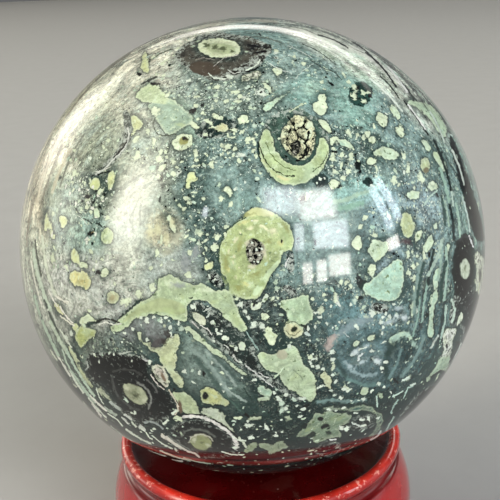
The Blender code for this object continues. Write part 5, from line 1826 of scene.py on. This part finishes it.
def with_pale_areas(weave, stone, colour):
    """Pale areas, with a shadow and a dark line outside, a light rim and cloudy insides."""
    depth = weave.maths("ADD", weave.stored("pale_depth", "Fac"), stone.wobble)
    shadow = weave.step(stone.cloud, 0.62, 0.4, 0.2, 0.7)
    shadow = weave.times(weave.step(depth, -8.0, -0.5), shadow)
    colour = weave.blend(shadow, colour, DEEP)
    line = weave.step(stone.cloud, 0.35, 0.6, 0.15, 0.7)
    line = weave.times(weave.step(depth, -2.4, -0.6), line)
    colour = weave.blend(line, colour, INK)
    pale = weave.shade(weave.stored("pale_colour"), weave.step(stone.inside, 0.28, 0.72, 0.7, 1.2))
    pale = weave.shade(pale, weave.step(stone.smoke, 0.35, 0.65, 0.84, 1.12))
    pale = weave.shade(pale, weave.step(stone.grain, 0.3, 0.7, 0.84, 1.1))
    olive = weave.noise(stone.grid, 0.36, 5.0, 0.6, 0.8)
    pale = weave.blend(weave.step(olive, 0.52, 0.7, 0.0, 0.5), pale, LEAF)
    pale = weave.blend(weave.step(olive, 0.48, 0.3, 0.0, 0.4), pale, OLIVE_PALE)
    pale = weave.blend(weave.step(depth, 2.6, 0.6, 0.0, 0.4), pale, CREAM)
    pale = weave.blend(weave.ridge(olive, 0.5, 0.016, 0.4), pale, OLIVE_LINE)
    pale = weave.blend(weave.specks(stone.frayed, 1.5, 0.14, 0.36), pale, PALE_SPECK)
    pale = weave.blend(weave.step(stone.blots, 0.43, 0.36, 0.0, 0.6), pale, PALE_BLOT)
    scribble = weave.scribble(stone.crackle, weave.stored("pale_crackle", "Fac"), 0.16, 0.63)
    pale = weave.blend(weave.times(scribble, 0.85), pale, PALE_SCRIBBLE)
    return weave.blend(weave.step(depth, -0.6, 0.6), colour, pale)


def with_inner_areas(weave, stone, colour):
    """Areas inside the pale and dark ones, whose edges wander half as far."""
    wobble = weave.times(stone.wobble, 0.5)
    depth = weave.maths("ADD", weave.stored("inner_depth", "Fac"), wobble)
    inner = weave.shade(weave.stored("inner_colour"), weave.step(stone.inside, 0.25, 0.75, 0.7, 1.25))
    scribble = weave.scribble(stone.crackle, weave.stored("inner_crackle", "Fac"), 0.13, 0.62)
    inner = weave.blend(weave.times(scribble, 0.8), inner, INNER_SCRIBBLE)
    return weave.blend(weave.step(depth, -0.9, 0.9), colour, inner)


def with_marks(weave, stone, colour):
    """Marks held on the faces, their outlines made uneven, and lighter towards the seat as painted light.
    """
    moved = weave.pushed(stone.place, weave.sway(stone.grid, 1.7, 3.0, 0.65), 0.6 * MM)
    lumps = weave.step(weave.noise(stone.grid, 2.1, 2.0, 0.6), 0.3, 0.7, 1.45, 0.65)
    broken = weave.step(stone.streaks, 0.4, 0.54)
    # Painted light: the marks lighter towards the seat, where the stone takes less light
    lift = weave.step(stone.height, -2.0, -22.0, 1.0, 1.35)
    toned = weave.step(stone.mottle, 0.3, 0.7, 0.78, 1.1)
    grained = weave.times(weave.step(stone.grain, 0.3, 0.7, 0.9, 1.06), lift)
    for slot in range(MARKS_PER_FACE):
        middle_u, middle_v, core = weave.split(weave.stored(f"mark_place_{slot}"))
        along = weave.vector("DOT_PRODUCT", moved, weave.stored(f"mark_u_{slot}"))
        along = weave.maths("ABSOLUTE", weave.maths("SUBTRACT", along, middle_u))
        along = weave.maths("MAXIMUM", weave.maths("SUBTRACT", along, core), 0.0)
        across = weave.vector("DOT_PRODUCT", moved, weave.stored(f"mark_v_{slot}"))
        across = weave.maths("SUBTRACT", across, middle_v)
        square = weave.maths("MULTIPLY_ADD", along, along, weave.times(across, across))
        size = weave.times(weave.maths("SQRT", square), lumps)
        soft = weave.stored(f"mark_softness_{slot}", "Fac")
        surround = weave.maths("SUBTRACT", weave.step(size, 1.9, 1.1, 0.0, 0.4), soft, clamp=True)
        colour = weave.blend(surround, colour, INK)
        outer_edge = weave.maths("MULTIPLY_ADD", soft, 0.35, 1.15)
        inner_edge = weave.maths("MULTIPLY_ADD", soft, -0.6, 0.8)
        most = weave.maths("MULTIPLY_ADD", soft, -0.15, 1.0)
        mask = weave.step(size, outer_edge, inner_edge, 0.0, most)
        soft_side = weave.times(soft, stone.sides)
        mask = weave.times(mask, weave.mixed(soft_side, 1.0, broken))
        mark = weave.shade(weave.shade(weave.stored(f"mark_colour_{slot}"), toned), grained)
        colour = weave.blend(mask, colour, mark)
    return colour


def jasper_material():
    material = bpy.data.materials.new("jasper")
    weave = Weaver(material)
    stone = stone_noises(weave)
    colour = ground_colour(weave, stone)
    colour = with_dark_areas(weave, stone, colour)
    colour = with_pale_areas(weave, stone, colour)
    colour = with_inner_areas(weave, stone, colour)

    # Painted shade: the whole stone darker and greener towards the seat
    colour = weave.blend(weave.step(stone.height, -2.0, -25.0, 0.0, 0.34), colour, STONE_PAINTED_SHADE)
    colour = weave.shade(with_marks(weave, stone, colour), STONE_SHADE)
    shader = weave.tree.nodes["Principled BSDF"]
    weave.put(shader.inputs["Base Color"], colour)
    weave.put(shader.inputs["Roughness"], weave.step(stone.mottle, 0.2, 0.8, 0.03, 0.07))
    shader.inputs["IOR"].default_value = 1.54
    shader.inputs["Specular IOR Level"].default_value = 0.4
    return material


def sphere_underside(radius):
    """Height of the sphere's lower surface at this distance from the axis."""
    share = radius / SPHERE_RADII[0]
    return SPHERE_CENTRE[2] - SPHERE_RADII[2] * math.sqrt(1 - share * share)


def bowed(start, end, rise, count):
    """Points after start on the arc to end, which bows outwards by rise (inwards if negative)."""
    chord_r = end[0] - start[0]
    chord_z = end[1] - start[1]
    chord = math.hypot(chord_r, chord_z)
    half_angle = 2 * math.atan2(2 * abs(rise), chord)
    arc_radius = 0.5 * chord / math.sin(half_angle)
    side = math.copysign(1.0, rise)
    points = []
    for step in range(1, count + 1):
        angle = half_angle * (2 * step / count - 1)
        along = 0.5 + 0.5 * math.sin(angle) / math.sin(half_angle)
        lift = side * arc_radius * (math.cos(angle) - math.cos(half_angle))
        point_r = start[0] + along * chord_r - lift * chord_z / chord
        point_z = start[1] + along * chord_z + lift * chord_r / chord
        points.append((point_r, point_z))
    return points


def stand_outline():
    """Half section of the stand: out over the dish, down the outside and back along the underside."""
    points = []
    for step in range(SEAT_STEPS + 1):
        radius = SEAT_RADIUS * step / SEAT_STEPS
        points.append((radius, sphere_underside(radius) - SEAT_GAP))
    seat_edge = points[-1]
    lip = []
    for step in range(LIP_STEPS + 1):
        angle = LIP_INNER_ANGLE + (LIP_UNDER_ANGLE - LIP_INNER_ANGLE) * step / LIP_STEPS
        lip.append((LIP_RADIUS + LIP_TUBE * math.cos(angle), LIP_HEIGHT + LIP_TUBE * math.sin(angle)))
    for step in range(1, DISH_STEPS):
        share = step / DISH_STEPS
        radius = seat_edge[0] + (lip[0][0] - seat_edge[0]) * share
        points.append((radius, seat_edge[1] + (lip[0][1] - seat_edge[1]) * share**DISH_CURVE))
    points += lip
    belly_top = (BELLY_END_RADIUS, BELLY_TOP_HEIGHT)
    belly_bottom = (BELLY_END_RADIUS, BELLY_BOTTOM_HEIGHT)
    foot_top = (FOOT_TOP_RADIUS, FOOT_TOP_HEIGHT)
    points += bowed(lip[-1], belly_top, -COVE_DEPTH, COVE_STEPS)
    points += bowed(belly_top, belly_bottom, BELLY_BULGE, BELLY_STEPS)
    points += bowed(belly_bottom, foot_top, -LOWER_COVE_DEPTH, LOWER_COVE_STEPS)
    points += bowed(foot_top, (FOOT_BOTTOM_RADIUS, 0.0), FOOT_BULGE, FOOT_STEPS)
    points += [(FOOT_BOTTOM_RADIUS * share, 0.0) for share in FLAT_UNDERSIDE_SHARES]
    return points


def make_stand(material):
    """The outline turned round the upright axis, closed by a point at each end."""
    outline = stand_outline()
    turns = np.arange(STAND_STEPS) * 2 * math.pi / STAND_STEPS
    points = [(0.0, 0.0, outline[0][1])]
    for radius, height in outline[1:]:
        points += [(radius * math.cos(turn), radius * math.sin(turn), height) for turn in turns]
    points.append((0.0, 0.0, 0.0))
    rings = len(outline) - 1
    faces = []
    for step in range(STAND_STEPS):
        after = (step + 1) % STAND_STEPS
        faces.append((0, 1 + step, 1 + after))
        for ring in range(rings - 1):
            inner = 1 + ring * STAND_STEPS
            outer = inner + STAND_STEPS
            faces.append((inner + step, outer + step, outer + after, inner + after))
        last = 1 + (rings - 1) * STAND_STEPS
        faces.append((last + step, len(points) - 1, last + after))
    mesh = bpy.data.meshes.new("turned_stand")
    mesh.from_pydata(points, [], faces)
    mesh.shade_smooth()
    mesh.materials.append(material)
    stand = bpy.data.objects.new("turned_stand", mesh)
    bpy.context.scene.collection.objects.link(stand)
    return stand


def lacquer_material():
    """Deep red lacquer over faint grain, chipped on the lip, with painted light, glints and shade."""
    material = bpy.data.materials.new("red_lacquered_wood")
    weave = Weaver(material)
    _, grid = weave.grid()
    radius = weave.vector("LENGTH", weave.vector("MULTIPLY", grid, (1.0, 1.0, 0.0)))
    height = weave.split(grid)[2]
    grain = weave.add("ShaderNodeMapping", {
        "Vector": grid,
        "Rotation": (0.1, 0.05, 0.2),
        "Scale": (0.12, 1.1, 1.1),
    })
    fibres = weave.noise(grain, 1.2, 6.0, 0.65, 0.4)
    clouds = weave.noise(grid, 0.12, 4.0, 0.6)
    colour = weave.blend(weave.step(clouds, 0.3, 0.7), LACQUER_DEEPER, LACQUER_LIGHTER)
    colour = weave.shade(colour, weave.step(fibres, 0.25, 0.75, 0.96, 1.03))

    # Heights and radii in millimetres: the lip, the wall outside it and the bowl inside it
    ridge = weave.step(height, 22.6, 24.0)
    outer = weave.step(radius, 22.0, 23.4)
    rim = weave.times(ridge, outer)
    # Painted light: the lip a lighter red in patches
    lip_lit = weave.times(rim, weave.step(clouds, 0.35, 0.6, 0.35, 0.85))
    colour = weave.blend(lip_lit, colour, LACQUER_LIP_LIGHT)
    # Painted light: the outer wall a lighter red than the same lacquer elsewhere
    colour = weave.blend(weave.step(radius, 24.6, 25.4, 0.0, 0.75), colour, LACQUER_WALL_LIGHT)
    # Painted shade: the bowl darker under the sphere
    bowl = weave.times(weave.step(radius, 23.4, 21.6), weave.step(height, 16.0, 18.5))
    colour = weave.shade(colour, weave.mixed(bowl, 1.0, 0.5))
    # Pale chipped spots on the lip, partly chipped lacquer and partly painted glints
    chips_and_glints = weave.step(weave.noise(grid, 0.9, 4.0, 0.65), 0.58, 0.64, 0.0, 0.7)
    colour = weave.blend(weave.times(rim, chips_and_glints), colour, LACQUER_CHIP_AND_GLINT)
    specks = weave.times(weave.specks(grid, 0.8, 0.12, 0.12), 0.5)
    colour = weave.blend(specks, colour, LACQUER_SPECK)

    shader = weave.tree.nodes["Principled BSDF"]
    weave.put(shader.inputs["Base Color"], colour)
    weave.put(shader.inputs["Roughness"], weave.step(clouds, 0.3, 0.7, 0.22, 0.3))
    shader.inputs["Specular IOR Level"].default_value = 0.2
    shader.inputs["Coat Weight"].default_value = 0.9
    shader.inputs["Coat Roughness"].default_value = 0.04
    shader.inputs["Coat IOR"].default_value = 1.4
    bump = weave.tree.nodes.new("ShaderNodeBump")
    bump.inputs["Strength"].default_value = 0.12
    bump.inputs["Distance"].default_value = 0.2 * MM
    weave.put(bump.inputs["Height"], weave.noise(grid, 0.3, 2.0, 0.5))
    weave.put(shader.inputs["Normal"], bump.outputs[0])
    weave.put(shader.inputs["Coat Normal"], bump.outputs[0])
    return material


def make_floor():
    mesh = bpy.data.meshes.new("floor")
    half = FLOOR_HALF_SIDE
    corners = [(-half, -half, 0), (half, -half, 0), (half, half, 0), (-half, half, 0)]
    mesh.from_pydata(corners, [], [(0, 1, 2, 3)])
    material = bpy.data.materials.new("floor")
    weave = Weaver(material)
    place = weave.add("ShaderNodeTexCoord", {}, "Object")
    colour = weave.blend(weave.noise(place, 60.0, 4.0, 0.6), FLOOR_DARKER, FLOOR_PALER)
    shader = weave.tree.nodes["Principled BSDF"]
    weave.put(shader.inputs["Base Color"], colour)
    shader.inputs["Roughness"].default_value = FLOOR_ROUGHNESS
    mesh.materials.append(material)
    floor = bpy.data.objects.new("floor", mesh)
    bpy.context.scene.collection.objects.link(floor)
    return floor


def direction(azimuth, elevation):
    """Azimuth 0 is towards +Y and 90 towards +X, in degrees."""
    turn = math.radians(azimuth)
    rise = math.radians(elevation)
    return Vector((math.sin(turn) * math.cos(rise), math.cos(turn) * math.cos(rise), math.sin(rise)))


def soft_light(name, azimuth, elevation, distance, angles, radiance, tint, feather, roll):
    """A panel facing the sphere, as wide and tall as these angles, which dims towards its edges."""
    width, height = (2 * distance * math.tan(0.5 * math.radians(angle)) for angle in angles)
    light = bpy.data.lights.new(name, "AREA")
    light.shape = "RECTANGLE"
    light.size = width
    light.size_y = height
    light.energy = POWER_PER_AREA * width * height * radiance
    light.color = tint
    weave = Weaver(light)
    inside = weave.add("ShaderNodeNewGeometry", {}, "Parametric")
    masks = []
    for share in weave.split(inside)[:2]:
        across = weave.maths("ABSOLUTE", weave.maths("SUBTRACT", share, 0.5))
        masks.append(weave.step(across, 0.5, 0.5 - feather))
    emission = weave.tree.nodes["Emission"]
    weave.put(emission.inputs["Strength"], weave.times(*masks))
    lamp = bpy.data.objects.new(name, light)
    away = direction(azimuth, elevation)
    lamp.location = SPHERE_CENTRE + distance * away
    facing = (-away).to_track_quat("-Z", "Y").to_matrix()
    lamp.rotation_euler = (facing @ Matrix.Rotation(math.radians(roll), 3, "Z")).to_euler()
    lamp.visible_camera = False
    bpy.context.scene.collection.objects.link(lamp)


def make_lights():
    for name, panel in LIGHTS.items():
        soft_light(name, *panel)
    world = bpy.data.worlds.new("studio")
    world.use_nodes = True
    background = world.node_tree.nodes["Background"]
    background.inputs["Color"].default_value = STUDIO_TINT
    background.inputs["Strength"].default_value = STUDIO_STRENGTH
    bpy.context.scene.world = world


def make_camera():
    """The photograph's camera, turned a little so the sphere's centre falls where it is seen."""
    camera = bpy.data.cameras.new("camera")
    camera.sensor_width = SENSOR_WIDTH
    camera.lens = SENSOR_WIDTH * FOCAL_LENGTH / IMAGE_SIDE
    camera.clip_start = CLIP_START
    camera.clip_end = CLIP_END
    item = bpy.data.objects.new("camera", camera)
    straight = Matrix((RIGHTWARDS, UPWARDS, TOWARDS_EYE)).transposed()
    half = 0.5 * IMAGE_SIDE
    aim = Vector((CENTRE_SEEN_AT[0] - half, half - CENTRE_SEEN_AT[1], -FOCAL_LENGTH)).normalized()
    turn = aim.rotation_difference(Vector((0.0, 0.0, -1.0))).to_matrix()
    item.matrix_world = Matrix.Translation(SPHERE_CENTRE + Vector(EYE)) @ (straight @ turn).to_4x4()
    bpy.context.scene.collection.objects.link(item)
    bpy.context.scene.camera = item


def main():
    make_camera()
    make_lights()
    make_floor()

    sphere = make_sphere(jasper_material())
    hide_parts("jasper_sphere")
    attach(sphere, "root")

    stand = make_stand(lacquer_material())
    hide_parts("stand")
    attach(stand, "root")

    bpy.context.scene.view_settings.view_transform = "Standard"


main()
